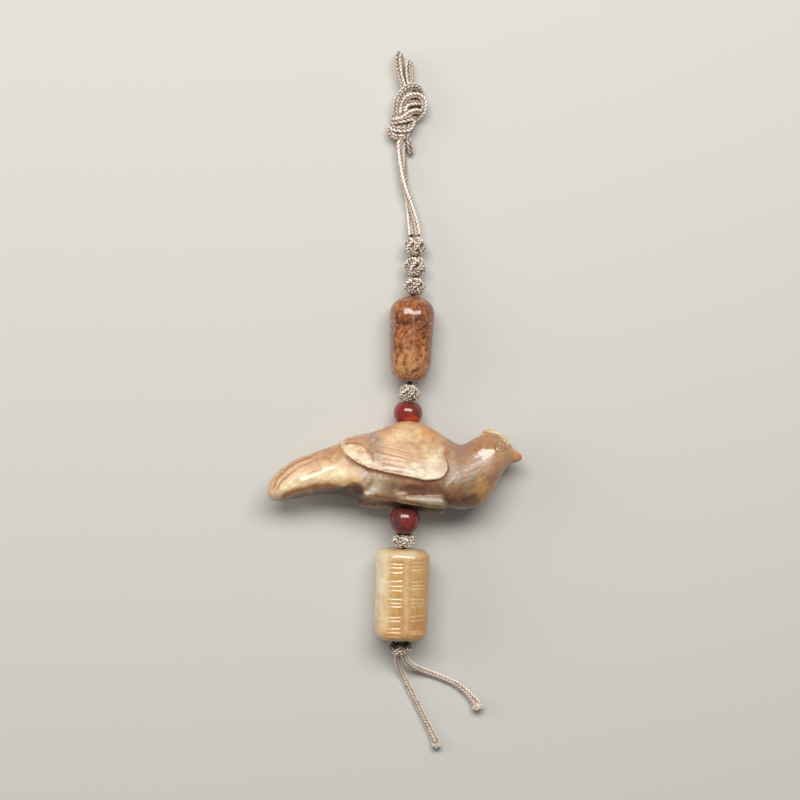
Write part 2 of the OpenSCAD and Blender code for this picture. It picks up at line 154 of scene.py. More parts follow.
# Turns of the loop knot: places as seen and height, for the turns that show, then the ones below
KNOT_TURNS = [
    [(0.8, 81.0, 2.0), (0.5, 82.2, 3.0), (0.35, 83.6, 3.3), (0.45, 85.0, 3.4), (0.8, 86.4, 3.5),
     (1.5, 87.6, 3.7), (2.5, 88.7, 4.1), (3.6, 89.5, 4.2), (4.8, 89.6, 3.9), (5.7, 89.2, 3.3),
     (6.3, 88.4, 2.4), (6.5, 87.5, 1.6)],
    [(1.9, 81.5, 2.0), (1.8, 82.7, 2.8), (1.9, 84.3, 3.0), (2.3, 85.7, 3.2), (3.1, 86.7, 3.5),
     (4.2, 87.2, 3.6), (5.4, 87.3, 3.5), (6.5, 86.8, 3.3), (7.2, 85.9, 3.2), (7.3, 84.5, 3.2),
     (7.0, 83.3, 3.1), (6.3, 82.3, 2.7), (5.5, 81.6, 2.1), (4.6, 81.0, 1.6)],
    [(6.7, 84.9, 1.9), (6.0, 85.2, 2.7), (5.1, 85.3, 3.4), (4.1, 85.2, 3.6), (3.2, 84.9, 3.5),
     (2.8, 84.1, 3.1), (2.8, 83.1, 2.6)],
    [(6.5, 82.9, 2.4), (6.0, 83.2, 3.6), (5.1, 83.4, 4.3), (4.0, 83.1, 4.4), (3.1, 82.5, 4.2),
     (2.1, 81.8, 3.9), (1.1, 81.4, 3.4), (0.3, 81.3, 2.9), (-0.2, 81.4, 2.0)],
    [(-0.4, 80.8, 2.2), (0.0, 80.7, 3.2), (0.9, 80.8, 3.9), (1.9, 81.0, 4.3), (3.0, 81.2, 4.4),
     (3.9, 81.5, 4.3), (4.6, 81.3, 4.0), (4.7, 80.6, 3.6), (4.3, 79.7, 3.3), (3.8, 78.9, 3.3),
     (2.9, 78.5, 3.5), (1.75, 78.4, 3.7), (0.6, 78.5, 3.6), (-0.35, 78.8, 3.1),
     (-0.9, 79.3, 2.3), (-1.0, 79.7, 1.5)],
    [(-0.4, 79.5, 2.0), (0.6, 79.4, 2.9), (1.75, 79.4, 3.1), (2.7, 79.7, 3.0), (3.6, 80.3, 2.6)],
    [(-0.6, 80.2, 1.2), (-1.1, 79.1, 1.9), (-1.2, 78.1, 2.3), (-0.6, 77.2, 2.7), (0.4, 76.7, 3.0),
     (1.6, 76.6, 3.0), (2.5, 77.0, 2.9), (3.2, 77.7, 2.6), (3.9, 78.6, 2.0), (4.3, 79.6, 1.4)],
    [(-0.2, 81.4, 2.0), (0.1, 82.2, 1.1), (1.4, 83.2, 0.87), (3.0, 84.0, 0.87), (4.8, 84.6, 0.87),
     (6.2, 84.4, 1.0), (6.9, 84.1, 1.8)],
    [(-0.4, 80.8, 2.2), (-0.2, 80.3, 1.2), (1.2, 80.5, 0.87), (2.8, 81.1, 0.87),
     (4.4, 82.0, 0.87), (5.8, 82.4, 1.2), (6.4, 82.6, 2.2)],
    [(-1.0, 79.7, 1.5), (-0.5, 78.8, 0.9), (1.0, 78.2, 0.87), (2.6, 78.3, 0.87),
     (3.9, 79.2, 0.87), (4.6, 80.6, 1.2), (4.6, 81.2, 1.8)],
    [(6.5, 87.5, 1.6), (6.0, 86.8, 0.95), (4.6, 86.2, 0.87), (3.0, 85.9, 0.87),
     (1.6, 85.2, 0.87), (0.6, 83.8, 0.95), (0.4, 82.4, 1.6)],
    [(2.0, 88.4, 3.2), (2.6, 88.0, 1.6), (4.0, 88.2, 0.95), (5.6, 88.0, 1.0), (6.6, 87.0, 1.4),
     (7.0, 85.6, 1.5), (6.9, 84.2, 1.5)],
]


def linear(hex_colour):
    """Colour for a shader from its sRGB hex value."""
    parts = [int(hex_colour[i:i + 2], 16) / 255 for i in (1, 3, 5)]
    return tuple(c / 12.92 if c <= 0.04045 else ((c + 0.055) / 1.055) ** 2.4 for c in parts) + (1,)


def connect(material, node, inputs):
    """Sets inputs of a node: each is a value, a socket, or a node whose result it takes."""
    for name, value in inputs.items():
        if isinstance(value, bpy.types.Node):
            value = next(output for output in value.outputs if output.enabled)
        if isinstance(value, bpy.types.NodeSocket):
            material.node_tree.links.new(value, node.inputs[name])
        else:
            node.inputs[name].default_value = value


def add(material, kind, inputs=None, stops=None, **settings):
    """Adds one node, with its own settings, its inputs and a ramp's stops."""
    node = material.node_tree.nodes.new("ShaderNode" + kind)
    for name, value in settings.items():
        setattr(node, name, value)
    connect(material, node, inputs or {})
    for i, (share, colour) in enumerate(stops or []):
        element = node.color_ramp.elements[i] if i < 2 else node.color_ramp.elements.new(share)
        element.position = share
        element.color = colour
    return node


def new_material(name, **constants):
    """Material with a Principled shader whose constant settings are given."""
    material = bpy.data.materials.new(name)
    material.use_nodes = True
    shader = material.node_tree.nodes["Principled BSDF"]
    connect(material, shader, {key.replace("_", " "): value for key, value in constants.items()})
    return material, shader


def unit(v):
    return v / np.linalg.norm(v, axis=-1, keepdims=True)


def unseen(x, y, z):
    """Real place at height z of what the camera sees at x, y."""
    shrunk = (CAMERA_Z - z) / (CAMERA_Z - SEEN_Z)
    return CAMERA_X + (x - CAMERA_X) * shrunk, CAMERA_Y + (y - CAMERA_Y) * shrunk, z


def as_seen(points):
    """Where the camera sees each of some real places."""
    grown = (CAMERA_Z - SEEN_Z) / (CAMERA_Z - points[:, 2])
    return np.column_stack([CAMERA_X + (points[:, 0] - CAMERA_X) * grown,
                            CAMERA_Y + (points[:, 1] - CAMERA_Y) * grown])


def smooth_route(points, step=CORD_STEP):
    """Evenly spaced points on a smooth curve through a route's points."""
    p = np.array(points, float)
    ends = np.vstack([2 * p[0] - p[1], p, 2 * p[-1] - p[-2]])
    t = np.linspace(0, 1, 24, endpoint=False)[:, None]
    fine = [0.5 * (2 * b + (c - a) * t + (2 * a - 5 * b + 4 * c - d) * t**2
                   + (3 * b - a - 3 * c + d) * t**3)
            for a, b, c, d in zip(ends, ends[1:], ends[2:], ends[3:])]
    fine = np.vstack(fine + [p[-1:]])
    reach = np.concatenate([[0], np.cumsum(np.linalg.norm(np.diff(fine, axis=0), axis=1))])
    even = np.linspace(0, reach[-1], ceil(reach[-1] / step) + 1)
    return np.column_stack([np.interp(even, reach, fine[:, k]) for k in range(3)]), reach[-1]


def sides_along(line, closed=False, outward=None):
    """The line's direction at each point, and a side square to it that hardly turns, or that
    faces outward where that is given."""
    if closed:
        around = np.vstack([line[-1:], line, line[:1]])
        along = unit(around[2:] - around[:-2])
    else:
        along = unit(np.gradient(line, axis=0))
    if outward is not None:
        return along, unit(outward - along * (outward * along).sum(1, keepdims=True))
    sides = np.empty_like(line)
    side = np.cross(along[0], (0, 0, 1.0))
    for i, way in enumerate(along):
        side = unit(side - way * side.dot(way))
        sides[i] = side
    return along, sides


# A yarn or thread: its points, its width at each, its material slot, whether it is a ring, and
# for each point the middle of its cord, the cord's half width and how deep the cord lies in a knot
Yarn = namedtuple("Yarn", "points width slot closed middle half depth")


def single(points, width, slot, middle, half):
    """An open yarn that is no part of a braid."""
    count = len(points)
    return Yarn(points, np.broadcast_to(width, count), slot, False, middle,
                np.broadcast_to(half, count), np.zeros(count))


def braid(line, length, d=CORD_D, swell=1.0, outward=None, closed=False, turn=0.0, depth=0.0,
          slots=(CREAM, TRACER)):
    """Yarns of a round braid along a line: the first slot's run one way, the second's the other."""
    size = d / CORD_D
    pitches = max(1, round(length / (BRAID_PITCH * size)))
    count = len(line)
    share = np.arange(count) / (count if closed else count - 1)
    turn = np.interp(share, np.linspace(0, 1, np.size(turn)), np.atleast_1d(turn))
    along, side = sides_along(line, closed, outward)
    other = np.cross(along, side)
    swell = np.broadcast_to(swell, count)
    depth = np.broadcast_to(depth, count)
    lift = YARN_LIFT * size
    middle = d / 2 - YARN_T * size / 2 - lift
    half = d / 2 * swell
    yarns = [Yarn(line, (middle - lift * 0.6) * 2 * swell, CORE, closed, line, half, depth)]
    for way, slot in zip((1, -1), slots):
        for i in range(YARNS_EACH_WAY):
            around = 2 * pi * (way * pitches * share + (i + (1 - way) / 4) / YARNS_EACH_WAY)
            angle = around - way * YARN_SWAY * np.sin(2 * around) + turn
            r = (middle * swell + lift * way * np.cos(2 * around))[:, None]
            points = line + r * (np.cos(angle)[:, None] * side + np.sin(angle)[:, None] * other)
            width = YARN_W * size * np.clip(swell, 0.35, 1.8)
            yarns.append(Yarn(points, width, slot, closed, line, half, depth))
    return yarns


def tube_mesh(name, yarns, materials, sides_level=2, flatness=YARN_T / YARN_W):
    """One mesh of many yarns, pressed flat on their cord, which holds how proud each place is."""
    curve = bpy.data.curves.new(name, "CURVE")
    curve.dimensions = "3D"
    curve.bevel_depth = 0.5 * MM
    curve.bevel_resolution = sides_level
    for material in materials:
        curve.materials.append(material)
    for yarn in yarns:
        count = len(yarn.points)
        spline = curve.splines.new("POLY")
        spline.points.add(count - 1)
        four = np.column_stack([yarn.points * MM, np.ones(count)])
        spline.points.foreach_set("co", four.ravel())
        width = np.array(yarn.width, float)
        if not yarn.closed:
            width[[0, -1]] *= 0.1
        spline.points.foreach_set("radius", width)
        spline.material_index = yarn.slot
        spline.use_cyclic_u = yarn.closed
        spline.use_smooth = True
    mesh = result(show(name + "_curve", curve), name)
    bpy.data.curves.remove(curve)
    points = places(mesh)
    ring = len(points) // sum(len(yarn.points) for yarn in yarns)
    centre, middle, half, depth = (
        np.repeat(np.concatenate([getattr(yarn, field) for yarn in yarns]), ring, axis=0)
        for field in ("points", "middle", "half", "depth"))
    outward = centre - middle
    reach = np.linalg.norm(outward, axis=1, keepdims=True)
    outward = outward / np.maximum(reach, 1e-6)
    off = points - centre
    points -= (1 - flatness) * outward * (off * outward).sum(1, keepdims=True)
    move_to(mesh, points)
    proud = np.linalg.norm(points - middle, axis=1) / half - depth
    mesh.attributes.new("proud", "FLOAT", "POINT").data.foreach_set("value", proud)
    return show(name, mesh)


def places(mesh):
    co = np.empty(len(mesh.vertices) * 3)
    mesh.vertices.foreach_get("co", co)
    return co.reshape(-1, 3) / MM


def move_to(mesh, points):
    mesh.vertices.foreach_set("co", (points * MM).ravel())
    mesh.update()


def show(name, data):
    piece = bpy.data.objects.new(name, data)
    bpy.context.scene.collection.objects.link(piece)
    return piece


def result(holder, name):
    """The mesh that a curve or a mesh with modifiers ends as. Its holder goes."""
    mesh = bpy.data.meshes.new_from_object(
        holder.evaluated_get(bpy.context.evaluated_depsgraph_get()))
    bpy.data.objects.remove(holder)
    mesh.name = name
    return mesh


def mesh_of(shape, name):
    """The mesh of a finished bmesh, which is let go."""
    mesh = bpy.data.meshes.new(name)
    shape.to_mesh(mesh)
    shape.free()
    return mesh


def place(piece, slot, *nodes):
    """Rides the piece on the pendant in place of some CAD nodes."""
    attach(piece, "root")
    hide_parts(*nodes)
    return piece


def camera():
    data = bpy.data.cameras.new("camera")
    data.sensor_width = SENSOR_MM
    data.lens = SENSOR_MM * (CAMERA_Z - SEEN_Z) / FRAME_WIDTH
    data.clip_start = 0.01
    data.clip_end = 10
    piece = show("camera", data)
    piece.location = Vector((CAMERA_X, CAMERA_Y, CAMERA_Z)) * MM
    bpy.context.scene.camera = piece


def cotton(name, crevice, shade, colour):
    """Cotton yarn of a plaited cord: matt and a little fluffy, clean where it stands proud and
    brown with old dust and shade where it dips under the next yarn."""
    material, shader = new_material(name, Roughness=0.8, Sheen_Weight=0.2, Sheen_Roughness=0.5,
                                    Specular_IOR_Level=0.3)
    coordinates = add(material, "TexCoord").outputs["Object"]
    proud = add(material, "Attribute", attribute_name="proud").outputs["Fac"]
    dust = add(material, "TexNoise", {"Vector": coordinates, "Scale": 1 / (1.1 * MM),
                                      "Detail": 3.0})
    worn = add(material, "Math", {0: dust, 1: 0.22, 2: proud}, operation="MULTIPLY_ADD")
    colours = add(material, "ValToRGB", {"Fac": worn},
                  [(0.77, linear(crevice)), (0.93, linear(shade)), (1.0, linear(colour))])
    fibres = add(material, "TexNoise", {"Vector": coordinates, "Scale": 1 / (0.1 * MM),
                                        "Detail": 2.0})
    bump = add(material, "Bump", {"Height": fibres, "Distance": 0.05 * MM, "Strength": 0.45})
    connect(material, shader, {"Base Color": colours, "Normal": bump})
    return material


def cord(name, route, nodes, turn=0.0, bulb=None):
    """A braided cord along its route. A bulb is given as its width, how long it takes to swell
    and how blunt its end is: the yarns are melted together there. A cord without one is browner
    towards its loop, where it is handled."""
    line, length = smooth_route(route)
    if bulb:
        width, swelling, blunt = bulb
        left = length - np.linspace(0, length, len(line))
        swell = 1 + (width / CORD_D - 1) * np.exp(-np.clip(left - BULB_KEEPS, 0, None) / swelling)
        line[:, 2] = np.maximum(line[:, 2], CORD_D / 2 * swell + 0.01)
        swell = swell * np.sqrt(np.clip(left / blunt, 0.03, 1))
        melted = ease((MELT_FROM - left) / MELT_OVER)
        yarns = braid(line, length, swell=swell, turn=turn, depth=BULB_DUST * melted)
        core = yarns[0]
        width = core.width + melted * (MELTED_CORE * core.half - core.width)
        yarns[0] = core._replace(slot=CREAM, width=width)
    else:
        handled = LOOP_DUST * ease(np.linspace(-3, 3, len(line)))
        yarns = braid(line, length, turn=turn, depth=handled)
    piece = tube_mesh(name, yarns, COTTONS)
    place(piece, "braided_cord", *nodes)
    return piece


def loop_knot():
    """The knot that gathers the doubled cord, with the cord's cut and frayed end below it."""
    yarns = []
    for i, turn in enumerate(KNOT_TURNS):
        line, length = smooth_route([unseen(*p) for p in turn])
        yarns += braid(line, length, turn=0.7 * i, depth=LOOP_KNOT_DUST)
    line, length = smooth_route(CUT_END)
    yarns += braid(line, length, turn=0.5, slots=(TRACER, TRACER))
    along, side = sides_along(line)
    draw = np.random.RandomState(3)
    for _ in range(FRAYS):
        a = draw.uniform(0, 2 * pi)
        out = cos(a) * side[-1] + sin(a) * np.cross(along[-1], side[-1])
        start = line[-1] + out * draw.uniform(0, 0.7)
        steps = np.linspace(0, draw.uniform(0.25, 0.7), 4)[:, None]
        fray = start + along[-1] * steps + out * steps**2 * draw.uniform(0, 0.9)
        fray[:, 2] = np.maximum(fray[:, 2], 0.1)
        yarns.append(single(fray, FRAY_D, TRACER, fray - out * 0.6, 0.7))
    return place(tube_mesh("loop_knot_turns", yarns, COTTONS), "braided_cord",
                 "loop_knot", "cut_end")


def crowned_knot(name, node, top, foot, across, taper=0.0, turn=0.0, soil_and_shade=0.0, pointed=1.0):
    """A knot plaited from the leads of a thin cord, between two places on the thread: a ball, or
    a barrel where it is less pointed. Where asked, its upper half is darker with soil and painted
    shade."""
    top, foot = np.array(top), np.array(foot)
    axis = unit(top - foot)
    e1 = unit(np.cross(axis, (0.0, 0.0, 1.0)))
    e2 = np.cross(axis, e1)
    middle = (top + foot) / 2
    d = KNOT_CORD_D
    wide = (across - d) / 2 / (1 + KNOT_DEPTH)
    tall = (np.linalg.norm(top - foot) - 0.2 - d) / 2 / sin(KNOT_LATITUDE)

    def over(t):
        return np.cos(2 * pi * (KNOT_LEADS - 1) * KNOT_BIGHTS * t)

    def on_ball(t):
        longitude = 2 * pi * KNOT_LEADS * t + turn + 0.1 * np.sin(2 * pi * 3 * t + turn)
        latitude = KNOT_LATITUDE * np.sin(2 * pi * KNOT_BIGHTS * t)
        latitude += 0.09 * np.sin(2 * pi * 2 * t + 2 * turn)
        reach = 1 + KNOT_DEPTH * over(t)
        width = wide * np.cos(latitude) ** pointed * reach * (1 + taper * np.sin(latitude))
        return (middle + np.outer(width * np.cos(longitude), e1)
                + np.outer(width * np.sin(longitude), e2)
                + np.outer(tall * np.sin(latitude), axis))

    t = np.linspace(0, 1, 2400, endpoint=False)
    raw = on_ball(t)
    steps = np.linalg.norm(np.roll(raw, -1, axis=0) - raw, axis=1)
    reach = np.concatenate([[0], np.cumsum(steps)])
    count = ceil(reach[-1] / (BRAID_PITCH * d / CORD_D / 16))
    even = np.interp(np.arange(count) * reach[-1] / count, reach, np.append(t, 1.0))
    line = on_ball(even)
    # Dust and painted shade: darker where a lead dips under the next, and towards the knot's top
    # where that is asked for
    depth = KNOT_DUST_AND_SHADE * (1 - over(even)) + soil_and_shade * ease((line - middle) @ axis / tall + 0.3)
    yarns = braid(line, reach[-1], d=d, outward=line - middle, closed=True, turn=0.5, depth=depth)
    for way in (-1, 1):
        line, length = smooth_route([foot + (top - foot) * share + e1 * way * LEAD_ASIDE
                                     for share in (0.02, 0.35, 0.65, 0.98)])
        # The leads through the knot's middle are darker: dust and painted shade
        yarns += braid(line, length, d=LEAD_D, depth=LEAD_DUST_AND_SHADE)
    line = np.array([middle - axis * tall * 0.6, middle, middle + axis * tall * 0.6])
    yarns.append(single(line, np.array([1.0, 1.55, 1.0]) * wide, CORE, line, wide))
    return place(tube_mesh(name, yarns, COTTONS, sides_level=1), "braided_cord", node)


def turned_bead(name, node, top, foot, d, colour_patches):
    """A round red bead with its hole on the thread, turned about the line between two places."""
    top, foot = Vector(top), Vector(foot)
    half = ((top - foot).length - 0.2) / 2
    steps = 48
    outer = [(BEAD_FLAT / 2 + (d - BEAD_FLAT) / 2 * sin(a), -half * cos(a))
             for a in (pi * i / steps for i in range(steps + 1))]
    hole, edge = BEAD_HOLE / 2, 0.1
    profile = [(hole + edge, -half)] + outer + [(hole + edge, half), (hole, half - edge),
                                                (hole, edge - half)]
    shape = bmesh.new()
    points = [shape.verts.new((r * MM, 0, h * MM)) for r, h in profile]
    rim = [shape.edges.new((a, b)) for a, b in zip(points, points[1:] + points[:1])]
    bmesh.ops.spin(shape, geom=points + rim, cent=(0, 0, 0), axis=(0, 0, 1), angle=2 * pi,
                   steps=96, use_merge=True, use_duplicate=False)
    bmesh.ops.remove_doubles(shape, verts=shape.verts, dist=SAME)
    bmesh.ops.recalc_face_normals(shape, faces=shape.faces)
    turn = (top - foot).to_track_quat("Z", "Y").to_matrix().to_4x4()
    shape.transform(Matrix.Translation((top + foot) / 2 * MM) @ turn)
    for face in shape.faces:
        face.smooth = True
    mesh = mesh_of(shape, name)
    store_colours(mesh, paint(as_seen(places(mesh)), RED_AGATE, colour_patches))
    mesh.materials.append(red)
    return place(show(name, mesh), "red_agate", node)


def fine_copy(name, node, voxel):
    """A CAD node's shape as a fine even mesh, ready for carving."""
    shape = bmesh.new()
    shape.from_mesh(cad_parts[node].data)
    bmesh.ops.remove_doubles(shape, verts=shape.verts, dist=SAME)
    coarse = mesh_of(shape, name + "_coarse")
    holder = show(name + "_coarse", coarse)
    remesh = holder.modifiers.new("even", "REMESH")
    remesh.mode = "VOXEL"
    remesh.voxel_size = voxel * MM
    remesh.adaptivity = 0
    remesh.use_smooth_shade = True
    fine = result(holder, name)
    bpy.data.meshes.remove(coarse)
    return fine


def normals(mesh):
    facing = np.empty(len(mesh.vertices) * 3)
    mesh.vertex_normals.foreach_get("vector", facing)
    return facing.reshape(-1, 3)


def relax(mesh, points, rounds, where=None, keep_volume=True):
    """Smooths points along the mesh's edges, wholly or where a weight says."""
    edges = np.empty(len(mesh.edges) * 2, int)
    mesh.edges.foreach_get("vertices", edges)
    a, b = edges.reshape(-1, 2).T
    count = np.bincount(np.concatenate([a, b]), minlength=len(points))[:, None]
    weight = 1 if where is None else where[:, None]
    for i in range(rounds):
        step = -0.53 if keep_volume and i % 2 else 0.5
        total = np.column_stack([np.bincount(a, points[b, k], len(points))
                                 + np.bincount(b, points[a, k], len(points)) for k in range(3)])
        points = points + step * weight * (total / count - points)
    return points


def smoothed(name, node, voxel):
    """A fine copy of a CAD node without its steps, its points and which way each faces."""
    mesh = fine_copy(name, node, voxel)
    points = relax(mesh, places(mesh), 8)
    move_to(mesh, points)
    return mesh, points, normals(mesh)


def ease(x):
    """0 below 0, 1 above 1, and smooth between."""
    x = np.clip(x, 0, 1)
    return x * x * (3 - 2 * x)


def away(points, spot):
    """How far each point is from one place."""
    return np.linalg.norm(points - spot, axis=1)


def near(x, middle, width):
    """1 where x is the middle value, falling smoothly to both sides."""
    return np.exp(-((x - middle) / width) ** 2)


def fade(share, part):
    """1 along a line, and less within that part of it from either end."""
    return ease(share / part) * ease((1 - share) / part)


def from_line(points, line):
    """Each point's distance from a line of points, and its share of the way along the line."""
    line = np.array(line, float)
    reach = np.concatenate([[0], np.cumsum(np.linalg.norm(np.diff(line, axis=0), axis=1))])
    best = np.full(len(points), 1e9)
    share = np.zeros(len(points))
    for a, b, start in zip(line, line[1:], reach):
        d = b - a
        t = np.clip(((points - a) @ d) / d.dot(d), 0, 1)
        gap = np.linalg.norm(points - a - t[:, None] * d, axis=1)
        nearer = gap < best
        best = np.where(nearer, gap, best)
        share = np.where(nearer, (start + t * np.linalg.norm(d)) / reach[-1], share)
    return best, share


def inside(points, outline):
    """Whether each point lies inside a closed outline."""
    found = np.zeros(len(points), bool)
    outline = np.array(outline, float)
    for (x0, y0), (x1, y1) in zip(outline, np.roll(outline, -1, axis=0)):
        crosses = (y0 > points[:, 1]) != (y1 > points[:, 1])
        with np.errstate(divide="ignore", invalid="ignore"):
            found ^= crosses & (points[:, 0] < (x1 - x0) * (points[:, 1] - y0) / (y1 - y0) + x0)
    return found


def groove(points, line, depth, width):
    """How deep a cut line lies at each point: it fades at both its ends."""
    gap, share = from_line(points, smooth_line(line))
    return depth * near(gap, 0, width) * fade(share, 0.12)


def smooth_line(points, step=0.25):
    flat = [(x, y, 0) for x, y in points]
    return smooth_route(flat, step)[0][:, :2]


def rough(points, size, seed):
    """Smooth noise between about -1 and 1 at each place, whose lumps are about so big."""
    return np.array([noise.noise(Vector(p) / size + Vector((seed, 0, 0))) for p in points])


# Wing's outline as seen, from its tip along its lower edge and round its front
WING_EDGE = [(-13.9, -0.2), (-12.5, -2.2), (-10.7, -3.9), (-8.65, -5.0), (-6.6, -5.9),
             (-2.5, -6.9), (1.0, -7.6), (3.2, -8.0), (5.5, -8.5), (7.7, -8.95), (10.3, -8.8),
             (11.9, -8.2), (13.0, -7.0), (13.4, -5.7), (13.0, -4.2), (12.6, -2.8), (12.35, -1.2),
             (12.6, 0.2)]
WING_BACK = [(12.8, 2.5), (10, 6), (0, 9), (-12, 4), (-15, 0.8)]

# The bird's cut lines as seen: the line's points, its depth and its half width
FEATHER_CUTS = [
    ([(-3.6, -0.4), (0.2, -1.2), (4.5, -2.2)], 0.07, 0.2),
    ([(-3.7, -1.9), (0.2, -2.8), (4.6, -3.9)], 0.12, 0.2),
    ([(-3.4, -3.4), (0.2, -4.0), (3.4, -4.7)], 0.13, 0.2),
    ([(-3.6, -4.9), (-0.4, -5.4), (3.1, -6.1)], 0.17, 0.2),
    ([(-3.9, -6.2), (0.0, -6.7), (4.4, -7.4)], 0.17, 0.2),
    ([(-13.6, 0.0), (-11.8, 0.32), (-9.55, 0.32), (-8.0, -0.26), (-6.4, -1.46), (-5.5, -3.25),
      (-5.36, -4.8)], 0.2, 0.22),
    ([(-13.2, 0.75), (-10.6, 1.25), (-8.4, 1.1)], 0.1, 0.2),
    ([(-31.1, -12.0), (-29.3, -8.4), (-26.2, -5.4), (-22.4, -3.6), (-19.8, -2.6)], 0.17, 0.22),
    ([(-29.7, -12.0), (-28.7, -9.5), (-26.3, -7.3), (-23.2, -5.3), (-20.0, -3.9)], 0.2, 0.22),
    ([(-28.6, -7.0), (-26.0, -4.8), (-22.9, -3.0), (-19.6, -1.9)], 0.1, 0.18),
]
BODY_CUTS = [
    ([(-0.5, -11.9), (5.4, -11.6), (9.5, -11.9), (11.8, -12.3), (12.9, -13.4)], 0.1, 0.8),
    ([(-7.65, -11.8), (-7.1, -11.1), (-5.7, -9.7)], 0.2, 0.4),
    ([(-6.9, -12.6), (-4.8, -13.1), (1.25, -14.0)], 0.18, 0.4),
    ([(11.4, -15.9), (7.7, -15.4), (0.97, -14.1)], 0.3, 0.35),
    ([(-10.2, -5.2), (-8.9, -5.4), (-7.3, -6.1), (-6.75, -7.45), (-7.5, -9.3), (-8.9, -9.95),
      (-11, -10.1)], 0.1, 0.35),
    ([(29.4, -1.7), (29.7, -2.9), (29.4, -4.4)], 0.1, 0.18),
    ([(21.9, 2.9), (23.3, 2.7), (25.1, 2.45), (26.4, 1.65), (27.55, 0.8)], 0.22, 0.3),
]
# Soft ridge along the tail, which carries its long highlight
TAIL_RIDGE = [(-24.6, -9.9), (-20.75, -8.25), (-17.9, -6.9), (-15.6, -5.9), (-13.4, -5.2)]
# Scalloped feathers at the wing's lower front: middle and radius
SCALLOPS = [(4.55, -5.25, 1.15), (6.6, -7.05, 1.3)]
# The eye's middle, the radius of its two rings, and a small chip in the breast
EYE = (26.35, -0.6)
EYE_RING, PUPIL_RING = 1.2, 0.55
CHIP = (17.2, -14.7)
# Ovals as seen: middle, half sizes, turn in degrees and how soft the edge is
LEG = (6.6, -14.3, 6.6, 2.2, -5, 0.3)
THIGH = (-1.8, -10.6, 8.5, 1.6, -3, 0.4)
FAR_PLATE = (-4.5, -15.0, 5.5, 1.6, -4, 0.5)
CHEEK = (22.2, -1.5, 2.8, 1.8, 45, 0.8)
# The cheek's flat: the place on it that stands proudest, and which way it faces
CHEEK_TOP = (22.4, -1.8, 20)
CHEEK_FACING = np.array([0.02, 0.26, 0.966])


def scales(points):
    """Outline of small overlapping scales on the wing's front, whose lower edges are free."""
    across, tall, r, lowest = 1.9, 1.3, 1.1, -7.6
    edge = np.zeros(len(points))
    for row in range(8):
        dx = (points[:, 0] + row % 2 * across / 2) % across - across / 2
        off = np.hypot(dx, points[:, 1] - (lowest + row * tall))
        edge = np.where(off < r, near(off, r, 0.17), edge)
    where = ease((points[:, 0] - 4.6) / 1.5) * ease((12.4 - points[:, 0]) / 1.2)
    return edge * where * ease((points[:, 1] + 8.2) / 1) * ease((1.8 - points[:, 1]) / 2.5)


